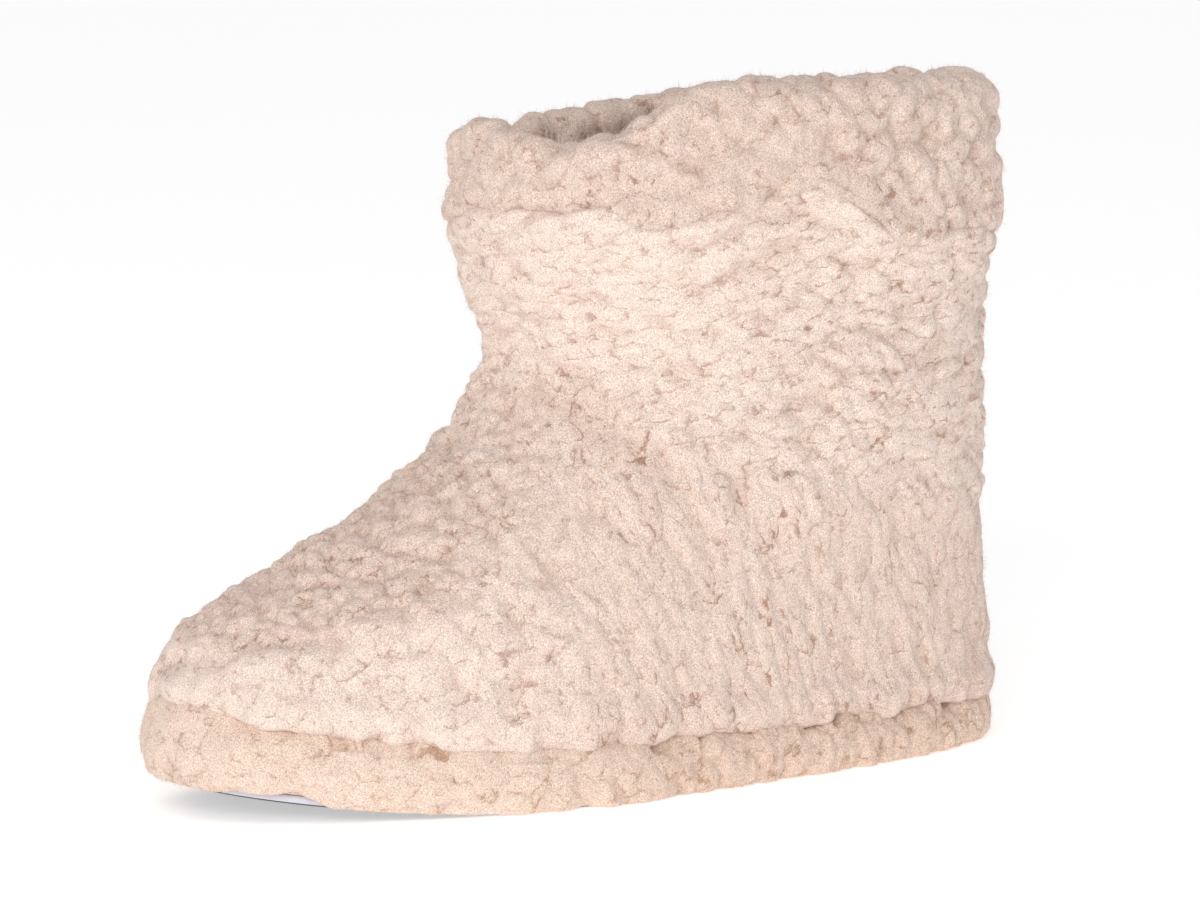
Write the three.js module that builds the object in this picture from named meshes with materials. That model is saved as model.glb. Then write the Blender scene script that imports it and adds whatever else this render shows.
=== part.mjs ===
// Bootie slipper for the left foot: a deep-pile fleece upper with an ankle shaft, a folded cuff over the
// shaft's top edge, a footbed, a fleece-wrapped platform midsole and a thin outsole.
// Millimetres. +X points to the toe, +Y to the wearer's left (the outer side of the foot), +Z up.
// The origin is on the floor, under the middle of the outsole.
import * as THREE from 'three';

// Sole
const LENGTH = 269; // platform, heel to toe
const BALL_WIDTH = 106; // platform across the ball of the foot
const OUTSOLE_THICKNESS = 2.5;
const OUTSOLE_INSET = 3; // the outsole's edge lies this far inside the platform's
const HEEL_STACK = 15; // top of the platform above the floor at the heel
const BALL_STACK = 18; // the same at the ball
const TOE_STACK = 24; // the same at the toe, without the spring
const BALL_REACH = 172; // heel end to the ball
const TOE_SPRING = 9; // lift of the toe end above the floor
const SPRING_LENGTH = 100; // stretch before the toe end over which the sole lifts
const BAND_BULGE = 3; // the wrapped side of the platform swells by this much
const BAND_EDGE = 3; // rounding of the platform's top and bottom edges
const FOOTBED_THICKNESS = 6;

// Upper
const HEIGHT = 200; // floor to the top of the cuff at the back
const THROAT_HEIGHT = 132; // floor to the bend between instep and shaft
const THROAT_REACH = 157; // heel end to the bend
const COLLAR_REACH = 166; // heel end to the shaft's front under the cuff
const COLLAR_WIDTH = 104; // shaft under the cuff, side to side
const WALL = 8; // fleece and lining together
const WALL_IN_CUFF = 5; // the same, pressed inside the folded cuff

// Cuff
const CUFF_HEIGHT = 33; // outer turn of the fold
const FACING_HEIGHT = 22; // inner turn of the fold
const CUFF_THICKNESS = 4.6; // outer turn
const FACING_THICKNESS = 3;
const ROLL_HEIGHT = 7; // the roll over the shaft's top edge

// Pile: rounded tufts raised on every outer fleece face
const TUFT_PITCH = 15;
const TUFT_DEPTH = 3;
const BAND_TUFT_DEPTH = 1.8;

const GAP = 0.3; // between neighbouring pieces

// Mesh density
const COLUMNS = 76; // round every ring
const UPPER_RINGS = 31; // up the outside of the upper
const LINING_RINGS = 7; // down its inside
const NORMAL_STEP = 1e-3; // share of a turn, or of the way up, used to measure a slope

// Shares of the way up the upper
const EDGE_BAND = 0.12; // over this the lower edge, which lies on the sole, turns into the side
const PILE_BAND = 0.05; // over this the pile rises at the lower edge and fades out at the cuff
const RIM_START = 0.55; // from here up the sections take on the rim's dip

// Plan of the foot. at: share of the length from the heel. outer and inner: width to each side, as a
// share of half the ball width, before the ends are rounded. swing: shift of the centre line to the
// outer side, as a share of the ball width.
const PLAN = [
  { at: 0.0, outer: 0.84, inner: 0.84, swing: 0.0 },
  { at: 0.18, outer: 0.84, inner: 0.82, swing: 0.0 },
  { at: 0.4, outer: 0.9, inner: 0.78, swing: 0.01 },
  { at: 0.55, outer: 0.99, inner: 0.88, swing: 0.01 },
  { at: 0.7, outer: 1.04, inner: 1.02, swing: 0.0 },
  { at: 0.84, outer: 1.02, inner: 1.06, swing: -0.02 },
  { at: 1.0, outer: 0.98, inner: 1.04, swing: -0.05 },
];
const PLAN_BLUNTNESS = 0.78; // 1 rounds the ends as an ellipse, less makes them squarer

// Foot part of the upper, from its lower edge to the throat. front: share of the way from the throat
// to the toe end. rise: share of the way from the sole to the throat. heelRise: the same for the back.
// heel: how far the back stands behind the platform's, as a share of the wall. width: share of half the
// ball width. foot: how much of the foot's plan the section keeps. blunt: rounding of its ends.
const FOOT_SECTIONS = [
  { front: 0.955, rise: 0.0, heelRise: 0.0, heel: 0.0, width: 0.93, foot: 1.0, blunt: 0.78 },
  { front: 0.985, rise: 0.09, heelRise: 0.08, heel: 0.3, width: 1.0, foot: 1.0, blunt: 0.78 },
  { front: 0.95, rise: 0.16, heelRise: 0.17, heel: 0.4, width: 1.01, foot: 0.95, blunt: 0.8 },
  { front: 0.86, rise: 0.24, heelRise: 0.26, heel: 0.35, width: 1.0, foot: 0.85, blunt: 0.84 },
  { front: 0.67, rise: 0.345, heelRise: 0.36, heel: 0.2, width: 0.98, foot: 0.7, blunt: 0.88 },
  { front: 0.475, rise: 0.47, heelRise: 0.45, heel: 0.05, width: 0.97, foot: 0.5, blunt: 0.92 },
  { front: 0.28, rise: 0.61, heelRise: 0.55, heel: 0.0, width: 0.97, foot: 0.3, blunt: 0.93 },
  { front: 0.11, rise: 0.77, heelRise: 0.66, heel: 0.0, width: 0.97, foot: 0.15, blunt: 0.93 },
  { front: 0.01, rise: 0.94, heelRise: 0.77, heel: 0.0, width: 0.96, foot: 0.05, blunt: 0.93 },
];

// Shaft, from the throat to the rim. reach: share of the way from the throat to the collar's front.
// rise: share of the way from the throat to the rim. heelRise: the same for the back. heel and blunt:
// as above. width: share of half the collar width.
const SHAFT_SECTIONS = [
  { reach: 0.5, rise: 0.12, heelRise: -0.04, heel: 0.0, width: 0.96, blunt: 0.93 },
  { reach: 1.15, rise: 0.32, heelRise: 0.24, heel: 0.0, width: 0.97, blunt: 0.92 },
  { reach: 1.35, rise: 0.54, heelRise: 0.5, heel: -0.1, width: 0.99, blunt: 0.92 },
  { reach: 0.8, rise: 0.76, heelRise: 0.74, heel: -0.35, width: 1.0, blunt: 0.92 },
  { reach: 0.8, rise: 1.0, heelRise: 1.0, heel: -0.4, width: 1.0, blunt: 0.92 },
];

// Height of the rim round the collar. turn: share of the way from the back to the front, the same over
// both sides. drop: share of the cuff's height by which the rim lies below its highest point.
const RIM_LINE = [
  { turn: 0.0, drop: 0.0 },
  { turn: 0.25, drop: 0.07 },
  { turn: 0.5, drop: 0.2 },
  { turn: 0.75, drop: 0.38 },
  { turn: 0.9, drop: 0.28 },
  { turn: 1.0, drop: 0.2 },
];

// The cuff's outer turn, from its lower edge. up: share of its height. out: share of its thickness.
// pile: share of the tufts' depth.
const CUFF_TURN = [
  { up: 0.0, out: 0.75, pile: 0.2 },
  { up: 0.12, out: 1.0, pile: 0.8 },
  { up: 0.34, out: 1.0, pile: 1.0 },
  { up: 0.58, out: 1.0, pile: 1.0 },
  { up: 0.8, out: 1.0, pile: 1.0 },
  { up: 0.94, out: 0.5, pile: 1.0 },
];

// The same for its inner turn, from the rim down to the facing's edge.
const FACING_TURN = [
  { up: 1.0, out: 0.2, pile: 0.5 },
  { up: 0.93, out: 0.8, pile: 0.5 },
  { up: 0.7, out: 1.0, pile: 0.0 },
  { up: 0.0, out: 1.0, pile: 0.0 },
];

// Places of the midsole's rings, as shares of its height.
const BAND_LEVELS = [0, 0.08, 0.28, 0.5, 0.72, 0.92, 1];

// Rounded edge of the footbed. lift and inset: shares of its thickness.
const FOOTBED_EDGE = [
  { lift: 0, inset: 0 },
  { lift: 0.6, inset: 0.1 },
  { lift: 1, inset: 0.4 },
];

// Fleece colours
const FLEECE_COLOUR = 0xecd3c5;
const BAND_COLOUR = 0xeed2bd;
const FOOTBED_COLOUR = 0xdccabf;
const OUTSOLE_COLOUR = 0xc9cad2;

// Value of one column of a table at a place between its rows, as a smooth curve through the rows that
// never overshoots them (a monotone cubic).
function along(rows, key, column, place) {
  const last = rows.length - 1;
  let row = 0;
  while (row < last - 1 && place > rows[row + 1][key]) row += 1;
  const slope = (i) => (rows[i + 1][column] - rows[i][column]) / (rows[i + 1][key] - rows[i][key]);
  const tangent = (i) => {
    if (i === 0) return slope(0);
    if (i === last) return slope(last - 1);
    const before = slope(i - 1);
    const after = slope(i);
    return before * after <= 0 ? 0 : (2 * before * after) / (before + after);
  };
  const step = rows[row + 1][key] - rows[row][key];
  const u = THREE.MathUtils.clamp((place - rows[row][key]) / step, 0, 1);
  const v = 1 - u;
  return (
    v * v * (1 + 2 * u) * rows[row][column] +
    u * u * (3 - 2 * u) * rows[row + 1][column] +
    u * v * step * (v * tangent(row) - u * tangent(row + 1))
  );
}

const blend = THREE.MathUtils.lerp;
const ease = THREE.MathUtils.smoothstep;

// Lift of the sole's underside above the floor, a parabola over the last stretch before the toe.
function springAt(x) {
  const share = Math.max(0, (x - (LENGTH - SPRING_LENGTH)) / SPRING_LENGTH);
  return TOE_SPRING * share * share;
}

// Top face of the platform.
function platformTop(x) {
  const stack = [
    { at: 0, height: HEEL_STACK },
    { at: BALL_REACH, height: BALL_STACK },
    { at: LENGTH, height: TOE_STACK },
  ];
  return along(stack, 'at', 'height', x) + springAt(x);
}

// A section through the shoe seen from above, as a point at one turn of the ring. It runs from the back
// end to the front end; half widths come from the foot's plan and fade to a plain oval.
function sectionPoint(turn, section) {
  const angle = 2 * Math.PI * turn;
  const share = (1 - Math.cos(angle)) / 2;
  const side = Math.sin(angle);
  const x = blend(section.back, section.front, share);
  const place = THREE.MathUtils.clamp(x / LENGTH, 0, 1);
  const plan = along(PLAN, 'at', side >= 0 ? 'outer' : 'inner', place);
  const width = section.halfWidth * blend(1, plan, section.foot);
  const centre = BALL_WIDTH * along(PLAN, 'at', 'swing', place) * section.foot;
  const y = centre + Math.sign(side) * width * Math.abs(side) ** section.blunt;
  const z = blend(section.backHeight, section.frontHeight, share);
  return new THREE.Vector3(x, y, z);
}

// Platform outline seen from above, moved outwards by grow, at height(x).
function outlinePoint(turn, grow, height) {
  const plan = {
    back: 0,
    front: LENGTH,
    halfWidth: BALL_WIDTH / 2,
    foot: 1,
    blunt: PLAN_BLUNTNESS,
    backHeight: 0,
    frontHeight: 0,
  };
  const here = sectionPoint(turn, plan);
  const before = sectionPoint(turn - NORMAL_STEP, plan);
  const after = sectionPoint(turn + NORMAL_STEP, plan);
  const outward = new THREE.Vector3(-(after.y - before.y), after.x - before.x, 0).normalize();
  here.addScaledVector(outward, grow);
  here.z = height(THREE.MathUtils.clamp(here.x, 0, LENGTH));
  return here;
}

// The upper's sections as real sizes, each with the share of the way up at which it lies.
function upperSections() {
  const foot = FOOT_SECTIONS.map((row) => ({
    back: -row.heel * WALL,
    front: blend(THROAT_REACH, LENGTH, row.front),
    backHeight: blend(HEEL_STACK, THROAT_HEIGHT, row.heelRise),
    frontHeight: blend(TOE_STACK + TOE_SPRING, THROAT_HEIGHT, row.rise),
    halfWidth: (BALL_WIDTH / 2) * row.width,
    foot: row.foot,
    blunt: row.blunt,
  }));
  const shaft = SHAFT_SECTIONS.map((row) => ({
    back: -row.heel * WALL,
    front: blend(THROAT_REACH, COLLAR_REACH, row.reach),
    backHeight: blend(THROAT_HEIGHT, HEIGHT, row.heelRise),
    frontHeight: blend(THROAT_HEIGHT, HEIGHT, row.rise),
    halfWidth: (COLLAR_WIDTH / 2) * row.width,
    foot: 0,
    blunt: row.blunt,
  }));
  const rows = [...foot, ...shaft];
  const climbed = [0];
  rows.slice(1).forEach((row, i) => {
    const front = Math.hypot(row.front - rows[i].front, row.frontHeight - rows[i].frontHeight);
    const back = Math.hypot(row.back - rows[i].back, row.backHeight - rows[i].backHeight);
    climbed.push(climbed[i] + (front + back) / 2);
  });
  const climb = climbed[climbed.length - 1];
  return { climb, rows: rows.map((row, i) => ({ ...row, at: climbed[i] / climb })) };
}

const UPPER = upperSections();

// Drop of the rim below its highest point, the same on both sides of the shoe.
function rimDrop(turn) {
  const wrapped = turn - Math.floor(turn);
  const share = wrapped <= 0.5 ? 2 * wrapped : 2 * (1 - wrapped);
  return CUFF_HEIGHT * along(RIM_LINE, 'turn', 'drop', share);
}

// Section of the upper at one share of the way up.
function sectionAt(up) {
  const section = {};
  for (const column of ['back', 'front', 'backHeight', 'frontHeight', 'halfWidth', 'foot', 'blunt']) {
    section[column] = along(UPPER.rows, 'at', column, up);
  }
  return section;
}

// Top face of the platform under a point.
function soleUnder(point) {
  return platformTop(THREE.MathUtils.clamp(point.x, 0, LENGTH));
}

// Point on the upper's outer face without its pile. up: 0 at the lower edge, 1 at the rim.
function facePoint(turn, up) {
  const point = sectionPoint(turn, sectionAt(up));
  const edge = sectionPoint(turn, sectionAt(0));
  const onSole = soleUnder(edge) + GAP - edge.z;
  point.z += onSole * (1 - ease(up, 0, EDGE_BAND));
  point.z -= rimDrop(turn) * ease(up, RIM_START, 1);
  return point;
}

// The same point moved out along the face's normal. At the lower edge the normal is level and the point
// follows the sole's top, so that the edge stays on the sole.
function offsetPoint(turn, up, out) {
  const free = ease(up, 0, EDGE_BAND);
  const low = Math.max(0, up - NORMAL_STEP);
  const high = Math.min(1, up + NORMAL_STEP);
  const round = facePoint(turn + NORMAL_STEP, up).sub(facePoint(turn - NORMAL_STEP, up));
  const climb = facePoint(turn, high).sub(facePoint(turn, low));
  const level = new THREE.Vector3(-round.y, round.x, 0).normalize();
  const outward = level.lerp(climb.cross(round).normalize(), free).normalize();
  const face = facePoint(turn, up);
  const point = face.clone().addScaledVector(outward, out);
  point.z += (soleUnder(point) - soleUnder(face)) * (1 - free);
  return point;
}

// A repeatable number from 0 to 1 for each whole-numbered cell.
function scatter(i, j, k, salt) {
  const wave = Math.sin(i * 127.1 + j * 311.7 + k * 74.7 + salt * 53.3) * 43758.5453;
  return wave - Math.floor(wave);
}

// Height of the pile at a point, from 0 in the parting between tufts to 1 on a tuft's crown. Each cell
// of a grid in space holds one tuft, and the nearest one makes a dome.
function tuft(point) {
  const cell = point.clone().divideScalar(TUFT_PITCH).floor();
  let nearest = Infinity;
  for (let i = cell.x - 1; i <= cell.x + 1; i += 1) {
    for (let j = cell.y - 1; j <= cell.y + 1; j += 1) {
      for (let k = cell.z - 1; k <= cell.z + 1; k += 1) {
        const heart = new THREE.Vector3(
          i + scatter(i, j, k, 1),
          j + scatter(i, j, k, 2),
          k + scatter(i, j, k, 3),
        ).multiplyScalar(TUFT_PITCH);
        nearest = Math.min(nearest, heart.distanceTo(point));
      }
    }
  }
  return 1 - Math.min(1, (nearest / TUFT_PITCH) ** 2);
}

// One closed ring of points, made by a function of the turn.
function ring(pointAt) {
  return Array.from({ length: COLUMNS }, (_, i) => pointAt(i / COLUMNS));
}

// Closed solid through rings that run along its surface. Hoop: the last ring joins the first, as on a
// tube bent round a hole. Otherwise both ends are closed by strips from side to side.
function ringSolid(rings, hoop) {
  const positions = rings.flat().flatMap((p) => [p.x, p.y, p.z]);
  const index = [];
  const spans = hoop ? rings.length : rings.length - 1;
  for (let r = 0; r < spans; r += 1) {
    const here = r * COLUMNS;
    const next = ((r + 1) % rings.length) * COLUMNS;
    for (let c = 0; c < COLUMNS; c += 1) {
      const d = (c + 1) % COLUMNS;
      index.push(here + c, next + c, next + d, here + c, next + d, here + d);
    }
  }
  if (!hoop) {
    const half = COLUMNS / 2;
    const last = (rings.length - 1) * COLUMNS;
    for (let c = 0; c < half; c += 1) {
      const near = [c, c + 1];
      const far = [(COLUMNS - c) % COLUMNS, COLUMNS - c - 1];
      if (c > 0) {
        index.push(near[0], near[1], far[0]);
        index.push(last + near[0], last + far[0], last + near[1]);
      }
      if (c < half - 1) {
        index.push(near[1], far[1], far[0]);
        index.push(last + near[1], last + far[0], last + far[1]);
      }
    }
  }
  const geometry = new THREE.BufferGeometry();
  geometry.setAttribute('position', new THREE.Float32BufferAttribute(positions, 3));
  geometry.setIndex(enclosedVolume(positions, index) < 0 ? index.reverse() : index);
  geometry.computeVertexNormals();
  return geometry;
}

// Volume inside the triangles, negative where they face inwards.
function enclosedVolume(positions, index) {
  const corner = (i) => new THREE.Vector3().fromArray(positions, 3 * i);
  let six = 0;
  for (let i = 0; i < index.length; i += 3) {
    six += corner(index[i]).dot(corner(index[i + 1]).cross(corner(index[i + 2])));
  }
  return six / 6;
}

function piece(name, geometry, colour) {
  const mesh = new THREE.Mesh(
    geometry,
    new THREE.MeshStandardMaterial({ color: colour, roughness: 0.95, metalness: 0 }),
  );
  mesh.name = name;
  mesh.position.x = -LENGTH / 2;
  return mesh;
}

// Thin sheet under the platform, flat on the floor up to the toe's lift.
function outsole() {
  const foot = (x) => springAt(x);
  const top = (x) => springAt(x) + OUTSOLE_THICKNESS;
  const rings = [
    ring((turn) => outlinePoint(turn, -OUTSOLE_INSET, foot)),
    ring((turn) => outlinePoint(turn, -OUTSOLE_INSET, top)),
  ];
  return piece('outsole', ringSolid(rings, false), OUTSOLE_COLOUR);
}

// Platform with its side wrapped in fleece: rounded edges, a swollen side and raised tufts, which leave
// the first and last ring bare.
function midsole() {
  const bottom = (x) => springAt(x) + OUTSOLE_THICKNESS + GAP;
  const rings = BAND_LEVELS.map((level) =>
    ring((turn) => {
      const fromMiddle = 2 * level - 1;
      const round = BAND_EDGE * fromMiddle ** 6;
      const swell = BAND_BULGE * (1 - fromMiddle ** 2);
      const height = (x) => blend(bottom(x), platformTop(x), level);
      const pile = 1 - fromMiddle ** 4;
      const bare = outlinePoint(turn, swell - round, height);
      return outlinePoint(turn, swell - round + pile * BAND_TUFT_DEPTH * (tuft(bare) - 0.5), height);
    }),
  );
  return piece('midsole', ringSolid(rings, false), BAND_COLOUR);
}

// Fleece footbed inside the upper's lower edge, its top edge rounded.
function insole() {
  const inset = WALL + GAP;
  const rings = FOOTBED_EDGE.map((row) =>
    ring((turn) => {
      const point = offsetPoint(turn, 0, -inset - row.inset * FOOTBED_THICKNESS);
      point.z = platformTop(point.x) + GAP + row.lift * FOOTBED_THICKNESS;
      return point;
    }),
  );
  return piece('insole', ringSolid(rings, false), FOOTBED_COLOUR);
}

// Share of the way up that a length takes.
function shareOf(length) {
  return length / UPPER.climb;
}

const WALL_TOP = 1 - shareOf(ROLL_HEIGHT);
const CUFF_EDGE = 1 - shareOf(CUFF_HEIGHT);
const FACING_EDGE = 1 - shareOf(FACING_HEIGHT);

// Places up the wall where the cuff and the wall inside it share a ring, so that their faces run side by
// side.
const CUFF_LEVELS = [CUFF_EDGE, FACING_EDGE, (FACING_EDGE + WALL_TOP) / 2, WALL_TOP];

// Evenly spaced places from one to another, without the last one.
function spaced(from, to, count) {
  return Array.from({ length: count }, (_, i) => blend(from, to, i / count));
}

// Foot and shaft in one hollow wall, open at the collar and underneath.
function upper() {
  const pressed = FACING_EDGE - shareOf(GAP);
  const shoulder = FACING_EDGE - shareOf(GAP + WALL - WALL_IN_CUFF);
  const outside = [...spaced(0, CUFF_EDGE, UPPER_RINGS), ...CUFF_LEVELS].map((up) =>
    ring((turn) => {
      const pile = ease(up, 0, PILE_BAND) * (1 - ease(up, CUFF_EDGE - PILE_BAND, CUFF_EDGE));
      return offsetPoint(turn, up, pile * TUFT_DEPTH * (tuft(facePoint(turn, up)) - 0.5));
    }),
  );
  const lining = [...CUFF_LEVELS.slice(1), pressed].map((up) => ({ up, wall: WALL_IN_CUFF })).reverse();
  const below = [...spaced(0, shoulder, LINING_RINGS), shoulder].map((up) => ({ up, wall: WALL }));
  const inside = [...below, ...lining].reverse().map((row) =>
    ring((turn) => offsetPoint(turn, row.up, -row.wall)),
  );
  return piece('upper', ringSolid([...outside, ...inside], true), FLEECE_COLOUR);
}

// Fleece folded over the shaft's top edge: an outer turn, a roll and a shorter facing inside.
function cuff() {
  const bare = WALL_IN_CUFF + GAP;
  const seat = WALL_TOP + shareOf(GAP);
  const outer = CUFF_TURN.map((row) => ({
    up: blend(CUFF_EDGE, 1, row.up),
    out: row.out * (GAP + CUFF_THICKNESS),
    pile: row.pile,
  }));
  const inner = FACING_TURN.map((row) => ({
    up: blend(FACING_EDGE, 1, row.up),
    out: -row.out * (bare + FACING_THICKNESS),
    pile: row.pile,
  }));
  const inGroove = CUFF_LEVELS.slice(1, -1).map((up) => ({ up, out: -bare, pile: 0 }));
  const outGroove = CUFF_LEVELS.slice(0, -1).map((up) => ({ up, out: GAP, pile: 0 })).reverse();
  const groove = [
    ...inGroove,
    { up: seat, out: -bare, pile: 0 },
    { up: seat, out: GAP, pile: 0 },
    ...outGroove,
  ];
  const rings = [...outer, ...inner, ...groove].map((row) =>
    ring((turn) => {
      const bump = row.pile * TUFT_DEPTH * (tuft(facePoint(turn, row.up)) - 0.5);
      return offsetPoint(turn, row.up, row.out + bump);
    }),
  );
  return piece('cuff', ringSolid(rings, true), FLEECE_COLOUR);
}

const slipper = new THREE.Group();
slipper.add(outsole(), midsole(), insole(), upper(), cuff());

export default slipper;
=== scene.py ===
"""Bootie slipper: a deep curly fleece skin on a hollow upper, a rolled cuff, a fleece-wrapped platform
band, a lining, a footbed and a thin outsole. Metres, +X to the toe, +Y to the outer side, +Z up.

Each soft piece is a grid surface worked out as whole arrays. Its rows run up the piece and its columns
run once round it, from the middle of the back over the outer side to the toe and home over the inner
side."""

import math

import bpy
import numpy as np
from mathutils import Matrix, Vector


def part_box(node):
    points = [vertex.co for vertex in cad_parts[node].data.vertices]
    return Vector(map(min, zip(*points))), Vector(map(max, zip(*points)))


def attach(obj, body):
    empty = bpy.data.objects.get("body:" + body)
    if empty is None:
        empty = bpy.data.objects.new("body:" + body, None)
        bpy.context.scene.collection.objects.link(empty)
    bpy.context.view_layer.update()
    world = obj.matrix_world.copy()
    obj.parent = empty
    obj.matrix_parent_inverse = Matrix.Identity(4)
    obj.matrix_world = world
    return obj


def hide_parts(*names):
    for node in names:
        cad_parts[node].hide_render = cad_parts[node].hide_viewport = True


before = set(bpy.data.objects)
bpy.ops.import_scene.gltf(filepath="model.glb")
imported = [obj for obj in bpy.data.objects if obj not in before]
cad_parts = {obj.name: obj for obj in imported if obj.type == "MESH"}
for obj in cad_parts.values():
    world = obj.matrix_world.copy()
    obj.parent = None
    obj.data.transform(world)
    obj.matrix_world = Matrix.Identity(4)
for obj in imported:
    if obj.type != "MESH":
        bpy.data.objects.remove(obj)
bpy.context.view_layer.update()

bl_info = {
    "name": "Bootie slipper",
    "version": (1, 0, 0),
    "blender": (4, 5, 0),
    "location": "3D View > Sidebar > Slipper",
    "description": "Builds a fleece bootie slipper around its packed frame",
    "category": "Object",
}

# Sizes that the frame gives
OUTSOLE_INSET = 0.003
SOLE_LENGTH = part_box("outsole")[1].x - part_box("outsole")[0].x + 2 * OUTSOLE_INSET
CUFF_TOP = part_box("cuff")[1].z


def table(columns, *rows):
    """A small table: its named columns, each as an array with one value for each row."""
    return dict(zip(columns.split(), np.array(rows, float).T))


# Plan of the foot: share of the length from the heel, half widths to the outer and inner side as
# shares of half the ball's width, and the shift of the centre line as a share of the ball's width.
PLAN = table(
    "at outer inner swing",
    (0.00, 0.84, 0.84, 0.00),
    (0.18, 0.84, 0.82, 0.00),
    (0.40, 0.90, 0.78, 0.01),
    (0.55, 0.99, 0.88, 0.01),
    (0.70, 1.04, 1.02, 0.00),
    (0.84, 1.02, 1.06, -0.02),
    (1.00, 0.98, 1.04, -0.05),
)
PLAN_BLUNTNESS = 0.78

# Sections of the foot, from the lower edge to the throat. front: share of the way from the throat to
# the toe's end. rise and heel_rise: share of the way from the sole to the throat, at front and back.
# heel: how far the back stands out, as a share of the wall. width: share of half the ball's width.
# foot: how much of the plan the section keeps. blunt: rounding of its ends.
FOOT_SECTIONS = table(
    "front rise heel_rise heel width foot blunt",
    (0.955, 0.000, 0.00, 0.00, 0.93, 1.00, 0.78),
    (0.985, 0.090, 0.08, 0.30, 1.00, 1.00, 0.78),
    (0.950, 0.160, 0.17, 0.40, 1.01, 0.95, 0.80),
    (0.860, 0.240, 0.26, 0.35, 1.00, 0.85, 0.84),
    (0.670, 0.345, 0.36, 0.20, 0.98, 0.70, 0.88),
    (0.475, 0.470, 0.45, 0.05, 0.97, 0.50, 0.92),
    (0.280, 0.610, 0.55, 0.00, 0.97, 0.30, 0.93),
    (0.110, 0.770, 0.66, 0.00, 0.97, 0.15, 0.93),
    (0.010, 0.940, 0.77, 0.00, 0.96, 0.05, 0.93),
)

# Sections of the shaft, from the throat to the rim. reach: share of the way from the throat to the
# collar's front. The other columns are as above, with half the collar's width.
SHAFT_SECTIONS = table(
    "reach rise heel_rise heel width blunt",
    (0.50, 0.12, -0.04, 0.00, 0.96, 0.93),
    (1.15, 0.32, 0.24, 0.00, 0.97, 0.92),
    (1.35, 0.54, 0.50, -0.10, 0.99, 0.92),
    (0.80, 0.76, 0.74, -0.35, 1.00, 0.92),
    (0.80, 1.00, 1.00, -0.40, 1.00, 0.92),
)

# Drop of the rim on each side as a share of the cuff's height, from back to front. The outer side
# stands higher than the back, except in front.
RIM_LINE = table(
    "turn outer inner",
    (0.00, 0.00, 0.00),
    (0.20, -0.05, 0.05),
    (0.44, -0.13, 0.16),
    (0.60, -0.17, 0.26),
    (0.66, -0.12, 0.31),
    (0.76, 0.22, 0.38),
    (0.84, 0.33, 0.33),
    (0.90, 0.28, 0.28),
    (1.00, 0.20, 0.20),
)

EDGE_BAND = 0.12  # share of the way up over which the lower edge turns into the side
RIM_START = 0.55  # share of the way up from which the sections take on the rim's dip


def length_property(name, words, default):
    """A size in metres for the sidebar."""
    return bpy.props.FloatProperty(name=name, description=words, default=default, unit="LENGTH", precision=4)


def angle_property(name, words, degrees):
    """An angle for the sidebar."""
    return bpy.props.FloatProperty(
        name=name, description=words, default=math.radians(degrees), subtype="ANGLE"
    )


def colour_property(name, words, default):
    """A colour for the sidebar, as linear red, green and blue."""
    return bpy.props.FloatVectorProperty(
        name=name, description=words, default=default, subtype="COLOR", size=3, min=0, max=1
    )


class SlipperSizes(bpy.types.PropertyGroup):
    """Driving sizes of the slipper."""

    length: length_property("Length", "Platform, heel to toe", SOLE_LENGTH)
    ball_width: length_property("Ball width", "Platform across the ball of the foot", 0.106)
    outsole_thickness: length_property("Outsole thickness", "Thin sheet under the platform", 0.0025)
    heel_stack: length_property("Heel stack", "Platform's top above the floor at the heel", 0.015)
    ball_stack: length_property("Ball stack", "The same at the ball", 0.018)
    toe_stack: length_property("Toe stack", "The same at the toe, without the spring", 0.024)
    ball_reach: length_property("Ball reach", "Heel end to the ball", 0.172)
    toe_spring: length_property("Toe spring", "Lift of the toe end above the floor", 0.009)
    spring_length: length_property("Spring length", "Stretch over which the sole lifts", 0.100)
    footbed_thickness: length_property("Footbed thickness", "Fleece footbed", 0.006)
    height: length_property("Height", "Floor to the cuff's top at the back", CUFF_TOP)
    throat_height: length_property("Throat height", "Floor to the bend of the instep", 0.132)
    throat_reach: length_property("Throat reach", "Heel end to the bend of the instep", 0.157)
    collar_reach: length_property("Collar reach", "Heel end to the shaft's front", 0.166)
    collar_width: length_property("Collar width", "Shaft under the cuff, side to side", 0.104)
    wall: length_property("Wall", "Fleece and lining together", 0.008)
    pressed_wall: length_property("Pressed wall", "The same inside the folded cuff", 0.005)
    cuff_height: length_property("Cuff height", "Outer turn of the fold", 0.033)
    facing_height: length_property("Facing height", "Inner turn of the fold", 0.022)
    cuff_thickness: length_property("Cuff thickness", "Outer turn", 0.0046)
    facing_thickness: length_property("Facing thickness", "Inner turn", 0.003)
    gap: length_property("Gap", "Clearance between neighbouring pieces", 0.0003)


class SlipperFinish(bpy.types.PropertyGroup):
    """Colours and pile of the slipper."""

    fleece: colour_property("Fleece", "Crowns of the upper's locks", (0.875, 0.722, 0.640))
    cuff: colour_property("Cuff", "Crowns of the cuff's locks", (0.81, 0.665, 0.585))
    # Painted shade in the partings and creases between the locks, and in their darker tint.
    crevice_shade: colour_property("Crevice", "Partings between the upper's locks", (0.44, 0.27, 0.20))
    band: colour_property("Band", "Crowns of the platform's locks", (0.84, 0.675, 0.575))
    # Painted shade in the partings on the platform's side.
    band_crevice_shade: colour_property("Band crevice", "Partings on the platform's side", (0.46, 0.27, 0.17))
    lining: colour_property("Lining", "Inside of the shaft and footbed", (0.70, 0.58, 0.50))
    sheet: colour_property("Sheet", "Side of the outsole", (0.66, 0.66, 0.74))
    tread: colour_property("Tread", "Underside of the outsole", (0.06, 0.06, 0.07))
    swell: length_property("Swell", "Slow rise and fall of the pile", 0.0022)


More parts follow.
